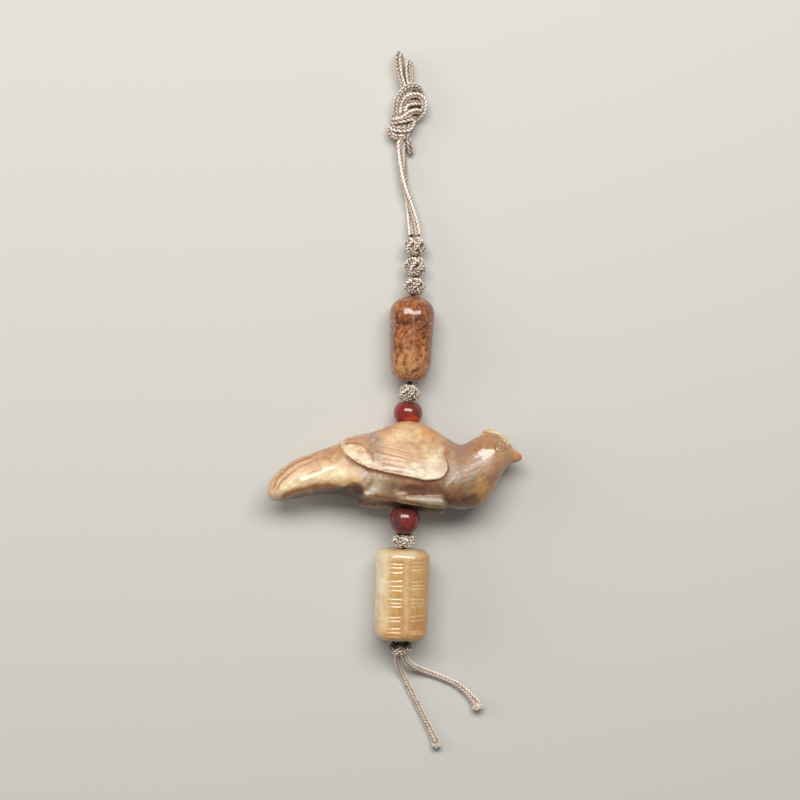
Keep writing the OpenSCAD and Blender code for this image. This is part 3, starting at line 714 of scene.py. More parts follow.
def carve_bird(mesh):
    """Sculpts the carving's lines and steps. Returns for each point where it shows from above,
    how far it lies inside the wing's edge and how deep it is cut."""
    points = relax(mesh, places(mesh), 12)
    turned = points - (0, 0, BIRD_LIFT)
    v = turned[:, 1] * cos(BIRD_ROLL) - turned[:, 2] * sin(BIRD_ROLL)
    w = turned[:, 1] * sin(BIRD_ROLL) + turned[:, 2] * cos(BIRD_ROLL)
    across = np.abs(w)
    upper = np.column_stack([points[:, 0], v * cos(BIRD_ROLL) + across * sin(BIRD_ROLL),
                             across * cos(BIRD_ROLL) - v * sin(BIRD_ROLL) + BIRD_LIFT])
    seen = as_seen(upper)
    belly = (ease((-8.5 - seen[:, 1]) / 2) * ease((seen[:, 0] + 10) / 2)
             * ease((13 - seen[:, 0]) / 2))
    crest = ease((seen[:, 0] - 21) / 0.6) * ease((seen[:, 1] + 0.27 * seen[:, 0] - 7.2) / 0.6)
    points = relax(mesh, points, 10, where=np.maximum(0.6 * belly, 0.5 * crest),
                   keep_volume=False)
    leg = share_in(seen, *LEG)
    points = relax(mesh, points, 50, where=np.maximum(0.9 * share_in(seen, *THIGH), 0.35 * leg),
                   keep_volume=False)
    points[:, 0] += 0.7 * leg * ease((seen[:, 0] - 5) / 6)
    points[:, 1] -= 0.6 * share_in(as_seen(points), *FAR_PLATE) * (w < 0)
    move_to(mesh, points)
    facing = normals(mesh)
    points += facing * (0.3 * leg)[:, None]
    top = np.argmin(away(upper, CHEEK_TOP))
    above_flat = (upper - upper[top]) @ unit(CHEEK_FACING) + 0.15
    points -= facing * (0.7 * above_flat * share_in(seen, *CHEEK))[:, None]
    side_facing = (facing[:, 1] * sin(BIRD_ROLL) + facing[:, 2] * cos(BIRD_ROLL)) * np.sign(w)
    shows = ease((side_facing - 0.05) / 0.35)

    edge = smooth_line(WING_EDGE)
    gap, share = from_line(seen, edge)
    on_wing = inside(seen, list(edge) + WING_BACK)
    into = np.where(on_wing, gap, -gap)
    strength = np.interp(share, [0, 0.05, 0.3, 0.45, 0.75, 0.85, 1], [0, 0.5, 0.6, 1, 0.9, 0.4, 0])
    lift = strength * (0.18 * ease((into + 0.1) / 0.3) * np.exp(-np.clip(into, 0, 9) / 3)
                       + 0.1 * near(into, 0.4, 0.35)
                       + 0.25 * near(into, -0.4, 0.4) * (1.2 - share))
    lift += groove(seen, TAIL_RIDGE, 0.3, 1.5)
    breast_strokes = [([(12.4 + 0.85 * i, -10.9 + 0.3 * i), (13.6 + 1.0 * i, -9.0 + 0.3 * i),
                        (15.4 + 1.0 * i, -7.4 + 0.3 * i)], 0.08, 0.15) for i in range(7)]
    cuts = 0.05 * scales(seen)
    for line, depth, width in FEATHER_CUTS + BODY_CUTS:
        cuts = np.maximum(cuts, groove(seen, line, depth, width))
    for x, y, r in SCALLOPS:
        off = away(seen, (x, y))
        cuts = np.where(off < r - 0.3, 0, np.maximum(cuts, 0.1 * near(off, r, 0.18)))
    eye = away(seen, EYE)
    cuts = np.max([cuts, 0.12 * near(eye, EYE_RING, 0.18), 0.1 * near(eye, PUPIL_RING, 0.15),
                   0.25 * near(away(seen, CHIP), 0, 0.3)]
                  + [groove(seen, *stroke) for stroke in breast_strokes], axis=0)
    worn = (0.07 * rough(points, 2.6, 5) + 0.035 * rough(points, 1.0, 9)
            + 0.015 * rough(points, 0.45, 11))
    points += facing * (shows * (lift - cuts) + worn)[:, None]
    points[:, 2] = np.maximum(points[:, 2], 0.02)
    move_to(mesh, points)
    return seen, into, strength, cuts * shows


# The bird's colours as seen: middle, half sizes, turn in degrees, edge softness, strength, colour.
# Some rows are painted shade under the wing and on the undersides
STAINS_AND_SHADE = [
    (-22, -8, 12, 6, 28, 0.5, 1.0, "#DDB688"),
    (-23, -4.6, 9, 1.5, 28, 0.6, 0.5, "#DAB088"),
    (-16, -1.7, 3.6, 1.4, 20, 0.6, 0.8, "#B08060"),
    (-12, -5.0, 3.2, 1.2, -30, 0.6, 0.6, "#C9A585"),
    (-10.4, -8.2, 3.4, 2.1, 12, 0.3, 0.85, "#DDBB86"),
    # Painted shade on the undersides of the tail and belly, in this row and the next
    (-17, -12.8, 12, 1.8, 5, 0.5, 0.9, "#5E3C2C"),
    (-12.2, -12.0, 6.5, 1.9, 8, 0.4, 0.95, "#412B24"),
    (-30.4, -13.4, 1.6, 1.4, 40, 0.6, 0.8, "#E8C4A4"),
    (-4.0, -7.6, 4.6, 1.7, -12, 0.4, 0.9, "#A09285"),
    (-5.0, -10.3, 2.6, 1.9, 0, 0.5, 0.9, "#A79D7F"),
    (-2.2, -11.0, 1.9, 1.6, 0, 0.4, 0.9, "#825C34"),
    (1.2, -10.6, 2.6, 2.2, 0, 0.6, 0.9, "#6A5E44"),
    # Painted shade under the wing's lower edge
    (7.6, -10.6, 6.5, 1.9, -3, 0.6, 0.95, "#56301E"),
    (12.6, -10.5, 2.2, 3.5, 0, 0.7, 0.8, "#74503A"),
    # Painted shade under the wing's edge, and in the next row a painted shadow band above the leg
    (5.4, -9.4, 7.5, 1.0, -6, 0.7, 0.9, "#74401F"),
    (5.8, -11.5, 5.6, 0.9, -1, 0.6, 0.9, "#553424"),
    (6.9, -14.0, 5.6, 1.3, -5, 0.3, 1.0, "#86765C"),
    (9.6, -14.9, 2.6, 0.8, -6, 0.6, 0.8, "#AE9D6C"),
    (9.0, -16.9, 5, 1.1, -4, 0.4, 0.9, "#806454"),
    (-4.5, -15.0, 5, 1.4, -4, 0.4, 0.9, "#9A7864"),
    (0, -0.6, 14.5, 8.0, -8, 0.3, 1.0, "#CAA070"),
    (-9.3, -2.3, 4.6, 1.7, -29, 0.3, 1.0, "#E8D2A8"),
    (-9.5, 1.4, 4.2, 1.1, 12, 0.5, 0.8, "#CB9C7E"),
    (-4.4, -0.6, 1.9, 4.6, 16, 0.5, 0.8, "#A48A6E"),
    (-5.0, 2.2, 1.6, 1.2, 16, 0.6, 0.8, "#B59A88"),
    (-1.6, 3.6, 2.4, 1.2, 22, 0.6, 0.8, "#C48A6A"),
    (-2.2, 0.6, 1.0, 2.4, 10, 0.6, 0.6, "#C98F68"),
    (5.6, -0.4, 2.2, 1.6, 30, 0.7, 0.5, "#CFA26C"),
    (0.5, -3.4, 3.6, 2.6, -12, 0.6, 0.7, "#DAB080"),
    (1.5, 2.0, 5, 1.9, 8, 0.6, 0.6, "#E6C592"),
    (8.8, 1.8, 3.0, 1.8, -25, 0.6, 0.85, "#D19750"),
    (10.2, -3.2, 2.6, 4.0, 0, 0.6, 0.85, "#DDC79C"),
    (6.0, -6.8, 6.2, 1.7, -14, 0.5, 0.85, "#EEE0BE"),
    (12.6, -1.8, 0.9, 2.4, -10, 0.6, 0.8, "#BE7F46"),
    (17.0, -7.0, 5.2, 8.5, 0, 0.5, 0.95, "#9A7850"),
    (16.0, -0.4, 3.4, 2.6, 0, 0.6, 0.9, "#A57A68"),
    (14.2, -3.2, 1.6, 2.2, 0, 0.6, 0.7, "#BD9070"),
    (17.0, -9.2, 2.6, 2.6, 30, 0.7, 0.7, "#7E6A48"),
    (20.4, -5.0, 2.4, 2.6, 30, 0.7, 0.6, "#96744E"),
    (21.8, -10.6, 2.2, 3.6, -22, 0.7, 0.7, "#BE8D50"),
    (24.6, -7.2, 1.1, 3.0, -28, 0.6, 0.8, "#946653"),
    # Painted shade on the breast's underside
    (15.4, -14.0, 5, 2.0, 0, 0.6, 0.95, "#3C2820"),
    (25.0, -2.6, 5.2, 4.8, 0, 0.6, 0.95, "#AE8458"),
    (24.6, 1.4, 3.6, 0.9, -8, 0.6, 0.5, "#B0805E"),
    (28.0, 0.6, 1.2, 2.2, -35, 0.6, 0.7, "#BE8866"),
    (27.2, -3.6, 1.4, 1.8, 0, 0.6, 0.6, "#C79A6A"),
    (30.6, -3.2, 1.7, 1.7, 0, 0.4, 0.9, "#CC8F5E"),
    (23.6, 3.6, 3.0, 0.9, -4, 0.2, 1.0, "#E9D2A6"),
    (26.9, 2.25, 2.6, 0.75, -42, 0.2, 1.0, "#E6CBA0"),
]
# Bands and streaks of colour along a line: its points, half width, strength and colour. Some are
# painted highlights
STREAKS = [
    # Cream band along the lower tail: the stone's cream, lightened further as a painted glow round
    # the tail's highlight
    ([(-29.6, -12.3), (-24.5, -10.3), (-19, -8.3), (-14.5, -7.5), (-11.5, -7.7)], 1.6, 0.85,
     "#F2DFB2"),
    ([(-25.5, -8.6), (-20.5, -6.4), (-15, -5.0)], 0.5, 0.5, "#EBD4AC"),
    ([(-29.2, -13.5), (-25.4, -11.8), (-19.9, -10.5), (-13.2, -10.3)], 0.75, 0.9, "#A05C26"),
    ([(-30.9, -12.0), (-29.2, -8.3), (-26.0, -5.2), (-22.1, -3.4), (-18.5, -2.2)], 0.3, 0.7,
     "#B06A48"),
    ([(-29.5, -11.8), (-28.6, -9.4), (-26.2, -7.2), (-23.2, -5.2), (-18.6, -3.3)], 0.3, 0.6,
     "#A8714C"),
    ([(-27.5, -6.4), (-23.5, -3.9), (-20.2, -2.6)], 0.22, 0.6, "#C56E5C"),
    ([(-12.7, 0.2), (-10, 0.4), (-7.6, -0.2)], 0.2, 0.8, "#A65F48"),
    ([(-12.2, 1.1), (-9.6, 1.6), (-6.9, 1.9)], 0.3, 0.6, "#A6705A"),
    ([(-6.5, 2.9), (-2, 4.6), (3, 5.9), (8, 4.9), (12, 2.6)], 0.6, 0.5, "#BE7E58"),
    ([(-2.5, -2.3), (1.2, -3.2), (4.4, -4.2)], 0.35, 0.6, "#D99C70"),
    ([(-2.6, -4.4), (0.2, -4.8), (3, -5.4)], 0.3, 0.6, "#DC9E6C"),
    # Painted highlights on the ridges between the wing's feather cuts, in this row and the next
    ([(-3.2, -3.2), (0.4, -3.75), (3.2, -4.3)], 0.2, 0.6, "#F7ECD8"),
    ([(-3.0, -5.5), (1.0, -6.2), (4.4, -6.9)], 0.25, 0.7, "#F8EEDC"),
    ([(-7.4, -11.5), (-6.9, -12.2), (-5.2, -12.7)], 0.5, 0.9, "#D9D6BE"),
    ([(-5.6, -13.0), (-2, -13.6), (1.4, -14.0)], 0.25, 0.7, "#6A4534"),
    # Painted highlight along the top of the leg
    ([(0.5, -13.1), (5.0, -13.3), (9.5, -13.6), (11.8, -13.9)], 0.5, 0.4, "#CBBDA2"),
    # Painted highlights on the breast's slanted strokes, in this row and the next
    ([(12.6, -10.6), (14.6, -8.2), (16.2, -6.8)], 0.5, 0.7, "#CBB8A2"),
    ([(14.8, -9.8), (16.6, -7.6), (18.4, -6.0)], 0.4, 0.7, "#C8B29A"),
]
# Where the stone is full of small dark specks: middle, half sizes, turn and strength
SPECKS = [(-4.6, -0.6, 2.0, 4.6, 16, 0.75), (-8.6, -5.2, 4, 1.3, -28, 0.8),
          (-2.6, -7.4, 4.6, 1.4, -12, 1.0), (-6, 2.0, 2.4, 1.2, 16, 0.7),
          (9, -4.5, 4, 4, 0, 0.3), (19, -3, 6, 6, 0, 0.45), (16, -8, 5, 6, 0, 0.4),
          (-5, -9.5, 3, 2.5, 0, 0.5)]

# Where the polish is worn dull, in the same way
DULLED = [(16.5, -5.5, 3.6, 6.0, -20, 0.9), (7, -10.5, 8, 2.2, -3, 1.0),
          (-5, -9.5, 4, 2.6, 0, 0.8), (3, -3, 12, 6, -10, 0.9), (5.0, -13.3, 9, 3.2, -5, 0.85),
          (5.6, -6.2, 4, 3, -20, 1.4), (20.6, -6.8, 5, 2.2, 45, 0.9),
          (25.0, -4.6, 3.6, 1.8, 45, 1.0),
          (-17, -13.2, 13, 1.9, 5, 1.6), (-23, -4.8, 9, 2.2, 28, 1.0),
          (-11, -6.2, 4, 2.4, -20, 1.2)]
# Where it is still bright, on the cheek
BRIGHT = (22.2, -1.6, 3.2, 2.0, 45, 0.6)


def share_in(at, x, y, half_x, half_y, turn, soft):
    """How much of an oval stain lies at each place, from 0 to 1."""
    dx, dy = at[:, 0] - x, at[:, 1] - y
    c, s = cos(radians(turn)), sin(radians(turn))
    reach = np.hypot((dx * c + dy * s) / half_x, (dy * c - dx * s) / half_y)
    return ease((1 + soft - reach) / (2 * soft))


def blend(colours, share, colour):
    share = np.reshape(share, (-1, 1))
    return colours * (1 - share) + np.array(linear(colour)[:3]) * share


def paint(seen, base, colour_patches, streaks=(), wander=1.3):
    """Colours a stone from its patches and streaks of colour, with their edges made ragged by
    noise. On the bird some of them are painted shade and painted highlights.
    """
    ragged = np.array([noise.noise_vector(Vector((x * 0.45, y * 0.45, 3.1))) for x, y in seen])
    at = seen + ragged[:, :2] * wander
    colours = np.tile(np.array(linear(base)[:3]), (len(seen), 1))
    for *where, strength, colour in colour_patches:
        colours = blend(colours, strength * share_in(at, *where), colour)
    at = seen + ragged[:, :2] * wander * 0.3
    for line, width, strength, colour in streaks:
        gap, share = from_line(at, smooth_line(line))
        colours = blend(colours, strength * fade(share, 0.1) * near(gap, 0, width), colour)
    return colours


def store_colours(mesh, colours, specks=0.0, matt=0.0):
    """Keeps each point's colour, in its alpha how many specks lie there, and how matt it is."""
    count = len(colours)
    four = np.column_stack([colours, np.broadcast_to(specks, count)])
    mesh.color_attributes.new("stone", "FLOAT_COLOR", "POINT").data.foreach_set(
        "color", four.ravel())
    mesh.attributes.new("matt", "FLOAT", "POINT").data.foreach_set(
        "value", np.broadcast_to(matt, count).astype(float))


def carved_jade(name, vein, vein_share, roughness=0.2, mottling=0.22):
    """Nephrite polished by hand and worn: light goes a little way in, with russet clouds, small
    dark specks, and fine scratches that break up its highlights."""
    material, shader = new_material(name, IOR=1.61, Specular_IOR_Level=0.65, Subsurface_Weight=0.14,
                                    Subsurface_Radius=(1.0, 0.6, 0.35), Subsurface_Scale=0.8 * MM)
    coordinates = add(material, "TexCoord").outputs["Object"]
    stone = add(material, "VertexColor", layer_name="stone")
    cloud = add(material, "TexNoise", {"Vector": coordinates, "Scale": 1 / (4.5 * MM),
                                       "Detail": 3.0, "Distortion": 0.8})
    amount = add(material, "MapRange", {"Value": cloud, "From Min": 0.44, "From Max": 0.72,
                                        "To Min": 0.0, "To Max": vein_share})
    clouded = add(material, "Mix", {"Factor": amount, 6: stone, 7: linear(vein)},
                  data_type="RGBA")
    mottle = add(material, "TexNoise", {"Vector": coordinates, "Scale": 1 / (1.3 * MM),
                                        "Detail": 4.0, "Roughness": 0.65})
    light = add(material, "MapRange", {"Value": mottle, "From Min": 0.3, "From Max": 0.7,
                                       "To Min": 1 - mottling, "To Max": 1 + 0.65 * mottling})
    mottled = add(material, "Mix", {"Factor": 1.0, 6: clouded, 7: light}, data_type="RGBA",
                  blend_type="MULTIPLY")
    grains = add(material, "TexNoise", {"Vector": coordinates, "Scale": 1 / (0.34 * MM),
                                        "Detail": 2.0})
    dots = add(material, "MapRange", {"Value": grains, "From Min": 0.5, "From Max": 0.6,
                                      "To Min": 0.0, "To Max": 0.8})
    specked = add(material, "Math", {0: dots, 1: stone.outputs["Alpha"]}, operation="MULTIPLY")
    final = add(material, "Mix", {"Factor": specked, 6: mottled, 7: linear("#6A4E3E")},
                data_type="RGBA")
    bump = add(material, "Bump", {"Height": grains, "Distance": 0.03 * MM, "Strength": 0.5})
    gloss = add(material, "MapRange", {"Value": mottle, "From Min": 0.35, "From Max": 0.65,
                                       "To Min": roughness - 0.05, "To Max": roughness + 0.1})
    matt = add(material, "Attribute", attribute_name="matt").outputs["Fac"]
    worn = add(material, "Math", {0: matt, 1: 0.25, 2: gloss}, operation="MULTIPLY_ADD")
    connect(material, shader, {"Base Color": final, "Normal": bump, "Roughness": worn})
    return material


def bird():
    mesh = fine_copy("carved_bird", "bird", 0.212)
    seen, into, strength, cuts = carve_bird(mesh)
    eye = away(seen, EYE)
    colours = paint(seen, "#B08A62", STAINS_AND_SHADE, STREAKS)
    # Painted highlight along the lip just inside the wing's lower edge, then painted shade in a
    # band just outside it
    for share, colour in ((strength * 0.5 * near(into, 0.35, 0.35), "#F6E8C6"),
                          (strength * 0.9 * near(into, -0.5, 0.5), "#96562A"),
                          # Russet in the cut lines, and painted shade in them
                          (np.clip(cuts / 0.18, 0, 1) * 0.6, "#94603E"),
                          # Painted shade on the eye's two cut rings, with a lighter ring between
                          # them
                          (0.5 * near(eye, EYE_RING, 0.22), "#85603F"),
                          (0.4 * near(eye, PUPIL_RING, 0.2), "#8A6445"),
                          (0.5 * near(eye, 0.9, 0.15), "#D9B68C")):
        colours = blend(colours, share, colour)
    specks = np.full(len(seen), 0.16)
    for *where, strength in SPECKS:
        specks = np.maximum(specks, strength * share_in(seen, *where, 0.5))
    matt = np.zeros(len(seen))
    for *where, strength in DULLED:
        matt = np.maximum(matt, strength * share_in(seen, *where, 0.6))
    *where, strength = BRIGHT
    matt -= strength * share_in(seen, *where, 0.6)
    store_colours(mesh, colours, specks, matt)
    mesh.materials.append(carved_jade("russet_nephrite", "#A86A3E", 0.55))
    return place(show("carved_bird", mesh), "russet_jade", "bird")


# Short cut lines in two columns down the tube's front and back: their depth, and where each
# lies along the string
TUBE_CUT = 0.16
LEFT_CUTS = [-29.3, -30.2, -31.2, -33.5, -34.75, -35.7, -38.05, -38.9, -39.7, -42.55, -43.25,
             -45.25, -46.3, -47.2]
RIGHT_CUTS = [-29.0, -30.0, -30.7, -33.8, -34.75, -35.4, -38.2, -39.0, -39.75, -42.4, -43.25,
              -46.1, -46.7]
TUBE_STAINS_AND_LIGHT = [
    # Whiter left face: the stone's pale tone, lightened further as painted light on that side
    (-3.9, -34, 2.8, 10, 0, 0.7, 0.85, "#F8E6C0"),
    (-3.6, -44, 2.0, 4, 0, 0.7, 0.6, "#E6CFA2"),
    (2.2, -27.6, 6.5, 1.4, 0, 0.6, 0.7, "#E4D6B4"),
    (0.2, -35, 1.8, 9, 0, 0.6, 0.7, "#D2A562"),
    (2.9, -38, 0.8, 12, 0, 0.9, 0.4, "#DDC496"),
    (5.4, -34, 2.0, 6, 0, 0.6, 0.7, "#D3AE72"),
    (5.6, -42, 1.8, 5, 0, 0.6, 0.7, "#CBA060"),
    (7.9, -35, 1.1, 10, 0, 0.6, 0.9, "#CE9C60"),
    (6.6, -45.4, 2.6, 2.6, 0, 0.6, 0.8, "#C98850"),
    (0.4, -44.6, 2, 2, 0, 0.7, 0.6, "#D0A06A"),
    (1.4, -48.0, 5.5, 1.3, 0, 0.6, 0.8, "#D09C60"),
    (-4.8, -46, 1.0, 2.4, 0, 0.6, 0.6, "#CDA07A"),
    (1.3, -49.8, 6, 0.9, 0, 0.5, 0.9, "#A0824F"),
]
TUBE_STREAKS = [
    ([(2.9, -28.5), (2.7, -36), (2.8, -43), (2.5, -48)], 0.5, 0.3, "#EBDCB8"),
    ([(0.9, -37.5), (1.2, -40.5), (0.8, -44)], 0.16, 0.6, "#A8703C"),
    ([(-0.6, -38), (-0.3, -41.5), (-0.7, -45)], 0.14, 0.5, "#B27C48"),
    ([(5.0, -39), (5.6, -42.5), (5.2, -46)], 0.2, 0.5, "#A86E3C"),
    ([(-4.3, -36), (-4.0, -41), (-4.4, -46)], 0.16, 0.4, "#C69A62"),
    ([(1.6, -29), (0.6, -30.6), (1.2, -33)], 0.2, 0.4, "#C08A50"),
]


def jade_tube():
    mesh, points, facing = smoothed("carved_tube", "jade_tube", 0.2)
    foot = np.array(TUBE_BOTTOM)
    axis = unit(TUBE_TOP - foot)
    right = (points[:, :2] - foot) @ np.array([axis[1], -axis[0]])
    low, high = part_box("jade_tube")
    up = points[:, 2] - (low[2] + high[2]) / 2 / MM
    cuts = np.zeros(len(points))
    for face in (0, 2):
        turn = face * pi / 2 + TUBE_TURN
        out = up * cos(turn) + right * sin(turn)
        u = right * cos(turn) - up * sin(turn)
        for side, heights in ((-1, LEFT_CUTS), (1, RIGHT_CUTS)):
            band = ease((side * u - 0.9) / 0.5) * ease((4.9 - side * u) / 0.5) * (out > 5)
            for i, height in enumerate(heights):
                y = height + 0.05 * np.sin(u * 1.3 + i) + 0.12 * np.sin(2.3 * i + face)
                cuts = np.maximum(cuts, TUBE_CUT * band * near(points[:, 1], y, 0.2))
    worn = 0.05 * rough(points, 3.5, 2) + 0.02 * rough(points, 1.2, 7)
    move_to(mesh, points + facing * (worn - cuts)[:, None])
    colours = paint(as_seen(points), "#CA985A", TUBE_STAINS_AND_LIGHT, TUBE_STREAKS, wander=0.6)
    # Painted highlight: the cut lines are painted light cream, as their lit lips look
    colours = blend(colours, np.clip(cuts / TUBE_CUT, 0, 1) * 0.35, "#EFE0BC")
    store_colours(mesh, colours, specks=0.08)
    mesh.materials.append(carved_jade("pale_nephrite", "#BE8A4E", 0.35, 0.16, 0.14))
    return place(show("carved_tube", mesh), "pale_jade", "jade_tube")


# Middle, half sizes, turn, softness, strength and colour of the stains in the agates, and of a
# painted glow in the upper red bead and painted shade on the lower one
RED_AGATE = "#6E2422"
UPPER_BEAD_STAINS_AND_GLOW = [
    (2.8, 7.8, 4.2, 4.4, 0, 0.5, 0.6, "#8C2C28"),
    # Painted glow of light that passes through the bead, at its lower right
    (4.6, 5.9, 1.7, 1.5, 0, 0.8, 0.9, "#D2501C"),
    (5.6, 9.6, 1.6, 1.6, 0, 0.6, 0.6, "#6A3A2C"),
]
LOWER_BEAD_STAINS_AND_SHADE = [
    # Partly painted shade: the whole bead is painted darker, as the bird's shadow makes it
    (2.3, -18.8, 5, 5, 0, 0.5, 0.9, "#542624"),
    (3.9, -19.5, 2.2, 2.0, 0, 0.7, 0.9, "#80302C"),
    (0.6, -19.4, 1.4, 2.0, 0, 0.7, 0.6, "#6E4A46"),
]
BROWN_STAINS = [
    (4.3, 26, 5.5, 11, 0, 0.5, 0.8, "#8E5A3C"),
    (2.6, 33.3, 3.0, 2.2, 0, 0.6, 0.8, "#94522C"),
    (6.6, 31.5, 1.8, 3.4, 0, 0.6, 0.7, "#7A4632"),
    (2.4, 26, 1.5, 3.6, 0, 0.6, 0.8, "#A86C3A"),
    (6.2, 25.2, 1.4, 2.6, 10, 0.6, 0.8, "#A8683A"),
    (4.3, 22.2, 1.6, 1.8, 0, 0.6, 0.6, "#8E5640"),
    (7.4, 21.6, 1.3, 2.0, 0, 0.6, 0.6, "#9A6040"),
    (3.0, 20.2, 4.5, 3.4, 0, 0.6, 0.85, "#C8925C"),
    (-0.8, 26, 0.9, 8.5, 0, 0.4, 0.9, "#8C7468"),
]
BROWN_STREAKS = [
    ([(0.7, 29.9), (1.6, 30.5), (2.6, 30.2), (4.1, 31.0), (6.4, 31.4)], 0.55, 1.0, "#4A2418"),
    ([(1.0, 32.6), (3.2, 32.2), (5.6, 33.4)], 0.3, 0.5, "#7A4A38"),
    ([(0.25, 33.5), (0.5, 30), (0.0, 26), (0.5, 22.5), (0.4, 19)], 0.3, 0.9, "#5A3226"),
    ([(1.2, 25.6), (1.5, 23.6), (2.5, 21.9), (2.4, 19.9), (3.25, 17.7)], 0.45, 0.8, "#5A3020"),
    ([(7.0, 20.2), (6.4, 19.6), (5.6, 18.6), (5.0, 18.4), (3.9, 17.3)], 0.45, 0.8, "#5A3020"),
    ([(4.75, 33), (4.6, 30), (4.9, 27), (4.5, 24), (4.6, 21)], 0.22, 0.5, "#B08E80"),
    ([(7.9, 30.0), (6.9, 28.8), (7.2, 26.8), (6.4, 26.2)], 0.4, 0.9, "#502A1E"),
    ([(3.6, 28.6), (2.6, 27.6), (3.1, 26.2), (2.2, 24.8), (3.0, 23.6)], 0.3, 0.8, "#56301F"),
    ([(3.4, 26.4), (4.2, 25.4), (5.4, 25.8), (6.2, 24.2)], 0.2, 0.6, "#6E4638"),
    ([(3.9, 28.8), (2.7, 26.8), (2.4, 24.6), (2.9, 22.8)], 0.16, 0.7, "#C4A294"),
    ([(5.8, 28.4), (5.2, 26.4), (6.2, 24.8), (5.6, 22.4)], 0.5, 0.7, "#8A3E22"),
    ([(2.2, 29.0), (1.4, 27.4), (1.9, 25.8)], 0.5, 0.7, "#8E4222"),
    ([(6.8, 24.6), (7.3, 22.8), (6.9, 21.2)], 0.25, 0.8, "#E0A070"),
]


def agate(name, dark, light, vein_share, blotch_mm, roughness=0.14, bumps=0.01):
    """Agate tumbled to a bright polish, with its colour in cloudy blotches below the surface."""
    material, shader = new_material(name, IOR=1.54, Roughness=roughness, Subsurface_Weight=0.12,
                                    Subsurface_Radius=(1.0, 0.3, 0.15), Subsurface_Scale=1.0 * MM,
                                    Coat_Weight=0.3, Coat_Roughness=0.05)
    coordinates = add(material, "TexCoord").outputs["Object"]
    colours = add(material, "VertexColor", layer_name="stone")
    blotches = add(material, "TexNoise", {"Vector": coordinates, "Scale": 1 / (blotch_mm * MM),
                                          "Detail": 5.0, "Distortion": 0.7})
    for high, colour in ((0.66, dark), (0.32, light)):
        amount = add(material, "MapRange", {"Value": blotches, "From Min": 0.48,
                                            "From Max": high, "To Min": 0.0,
                                            "To Max": vein_share})
        colours = add(material, "Mix", {"Factor": amount, 6: colours, 7: linear(colour)},
                      data_type="RGBA")
    grains = add(material, "TexNoise", {"Vector": coordinates, "Scale": 1 / (0.5 * MM),
                                        "Detail": 2.0})
    bump = add(material, "Bump", {"Height": grains, "Distance": bumps * MM, "Strength": 0.3})
    connect(material, shader, {"Base Color": colours, "Normal": bump})
    return material


def brown_bead():
    mesh, points, facing = smoothed("brown_agate_bead", "brown_bead", 0.26)
    seen = as_seen(points)
    ground = np.zeros(len(points))
    for line, height, width in (([(0.25, 34), (0.2, 26), (0.4, 18.6)], 0.16, 0.5),
                                ([(4.75, 34), (4.9, 27), (4.6, 20)], 0.16, 0.9),
                                ([(1.2, 25.6), (2.3, 21.5), (3.25, 17.7)], -0.12, 0.4),
                                ([(7.0, 20.2), (5.6, 18.6), (3.9, 17.3)], -0.12, 0.4)):
        ground += groove(seen, line, height, width)
    worn = 0.08 * rough(points, 2.6, 4)
    move_to(mesh, points + facing * (ground * np.clip(facing[:, 2], 0, 1) + worn)[:, None])
    store_colours(mesh, paint(seen, "#86563C", BROWN_STAINS, BROWN_STREAKS))
    mesh.materials.append(agate("brown_agate", "#642F1C", "#CE8C52", 0.66, 0.9, 0.16, 0.05))
    return place(show("brown_agate_bead", mesh), "brown_agate", "brown_bead")


def bead_thread():
    """The thread inside the beads, which shows as two thin strands below the belly."""
    route = [(4.93, 51.3, 3.65), BALL_1_2, BALL_2_3, BALL_3_END, (4.4, 35.0, 5.3),
             (3.75, 17.4, 5.3), KNOT_TOP_2, BEAD_1_TOP, BACK_MOUTH, BEAD_2_TOP, BEAD_2_BOTTOM,
             KNOT_TUBE, (2.05, -27.6, 6.9), (1.3, -47.6, 6.6), (1.35, -51.6, 5.9)]
    line, length = smooth_route(route, 0.5)
    along, side = sides_along(line)
    other = np.cross(along, side)
    turn = np.linspace(0, 2 * pi * length / THREAD_TURN, len(line))[:, None]
    yarns = []
    for start in (0, pi):
        offset = 0.3 * (np.cos(turn + start) * side + np.sin(turn + start) * other)
        yarns.append(single(line + offset, THREAD_D, 0, line, 0.6))
    dark = cotton("waxed_thread", "#3A261E", "#4A3228", "#6A4A3A")
    return place(tube_mesh("inner_thread", yarns, [dark], flatness=1), "thread", "bead_thread")


# Half the floor's side, in metres
FLOOR_HALF = 1.5


def floor():
    """A plain pale board of matt card."""
    shape = bmesh.new()
    bmesh.ops.create_grid(shape, x_segments=1, y_segments=1, size=FLOOR_HALF)
    mesh = mesh_of(shape, "floor")
    mesh.materials.append(new_material("matt_board", Base_Color=linear("#C9C6BE"),
                                       Roughness=0.9, Specular_IOR_Level=0.2)[0])
    show("floor", mesh)


def area_light(name, direction, distance, width, height, watts, glossy=True):
    """A white lamp that faces the origin, with its lengths in metres. It shows in the stones'
    gloss only where glossy is set."""
    data = bpy.data.lights.new(name, "AREA")
    data.shape = "RECTANGLE"
    data.size = width
    data.size_y = height
    data.energy = watts
    lamp = show(name, data)
    lamp.location = Vector(direction).normalized() * distance
    lamp.rotation_euler = Vector(direction).to_track_quat("Z", "Y").to_euler()
    lamp.visible_glossy = glossy


def lights():
    area_light("window", (0.04, 0.48, 0.87), 0.65, 0.7, 0.24, 5.0)
    area_light("left_screen", (-0.9, 0.2, 0.42), 0.7, 0.5, 0.3, 1.4, glossy=False)
    world = bpy.data.worlds.new("studio")
    world.use_nodes = True
    connect(world, world.node_tree.nodes["Background"],
            {"Color": linear("#F2F4F6"), "Strength": 0.2})
    bpy.context.scene.world = world
    bpy.context.scene.view_settings.view_transform = "Standard"


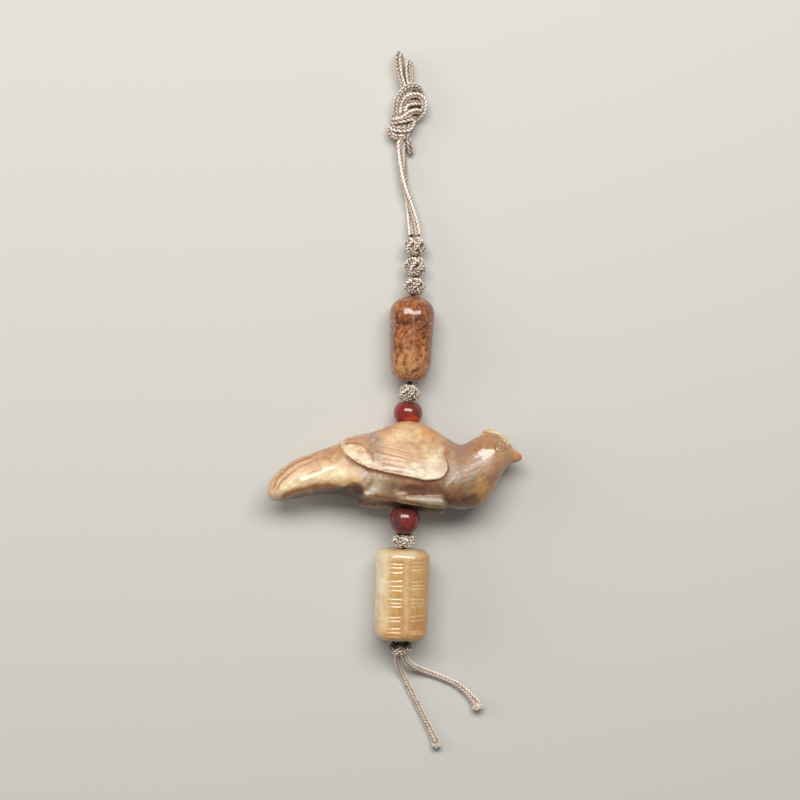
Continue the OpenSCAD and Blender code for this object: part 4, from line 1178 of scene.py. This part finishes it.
camera()
COTTONS = [cotton("cream_cotton", "#403022", "#B8A48E", "#F3EADC"),
           cotton("tracer_cotton", "#3A2A22", "#8C7464", "#CEBBAA"),
           # The core is brown, partly as painted shade in the gaps between the yarns
           cotton("cord_core", "#3A2C24", "#5A483A", "#8A7462")]
knot = loop_knot()
cord("hanging_cord_a", STRAND_A + THROUGH_KNOT_A + LOOP_A + BACK_IN_A,
     ["strand_a", "loop_a"], turn=[0.6, 1.3, 2.4, 2.4, 2.4])
cord("hanging_cord_b", STRAND_B + THROUGH_KNOT_B + LOOP_B + BACK_IN_B,
     ["strand_b", "loop_b"], turn=[2.5, 1.6, 0.8, 0.6, 0.6])
cord("cord_tail_left", INTO_TUBE_LEFT + TAIL_LEFT, ["tail_left"],
     turn=-0.3, bulb=(2.7, 1.8, 0.8))
cord("cord_tail_right", INTO_TUBE_RIGHT + TAIL_RIGHT,
     ["tail_right"], turn=-0.3, bulb=(3.1, 2.4, 0.6))
crowned_knot("ball_knot_1", "ball_knot_top", KNOT_TOP, BALL_1_2, 6.1)
crowned_knot("ball_knot_2", "ball_knot_middle", BALL_1_2, BALL_2_3, 6.1, turn=0.5)
crowned_knot("ball_knot_3", "ball_knot_bottom", BALL_2_3, BALL_3_END, 6.1, turn=1.1)
crowned_knot("knot_over_bird", "knot_above_bird", KNOT_TOP_2, BEAD_1_TOP, 6.0, taper=-0.35)
crowned_knot("knot_under_bird", "knot_below_bird", BEAD_2_BOTTOM, KNOT_TUBE, 6.3, taper=0.05,
             turn=0.8, pointed=0.5)
# Its top is darker with soil and painted shade, below the tube
crowned_knot("knot_under_tube", "end_knot", END_KNOT_TOP, END_KNOT_END, 6.1, turn=2.0,
             soil_and_shade=0.2, pointed=0.5)
red = agate("red_agate", "#3C1412", "#A03A28", 0.3, 1.6)
turned_bead("round_red_bead_upper", "upper_red_bead", BEAD_1_TOP, BACK_MOUTH, 7.3,
            UPPER_BEAD_STAINS_AND_GLOW)
turned_bead("round_red_bead_lower", "lower_red_bead", BEAD_2_TOP, BEAD_2_BOTTOM, 7.8,
            LOWER_BEAD_STAINS_AND_SHADE)
brown_bead()
jade_tube()
bird()
bead_thread()
floor()
lights()
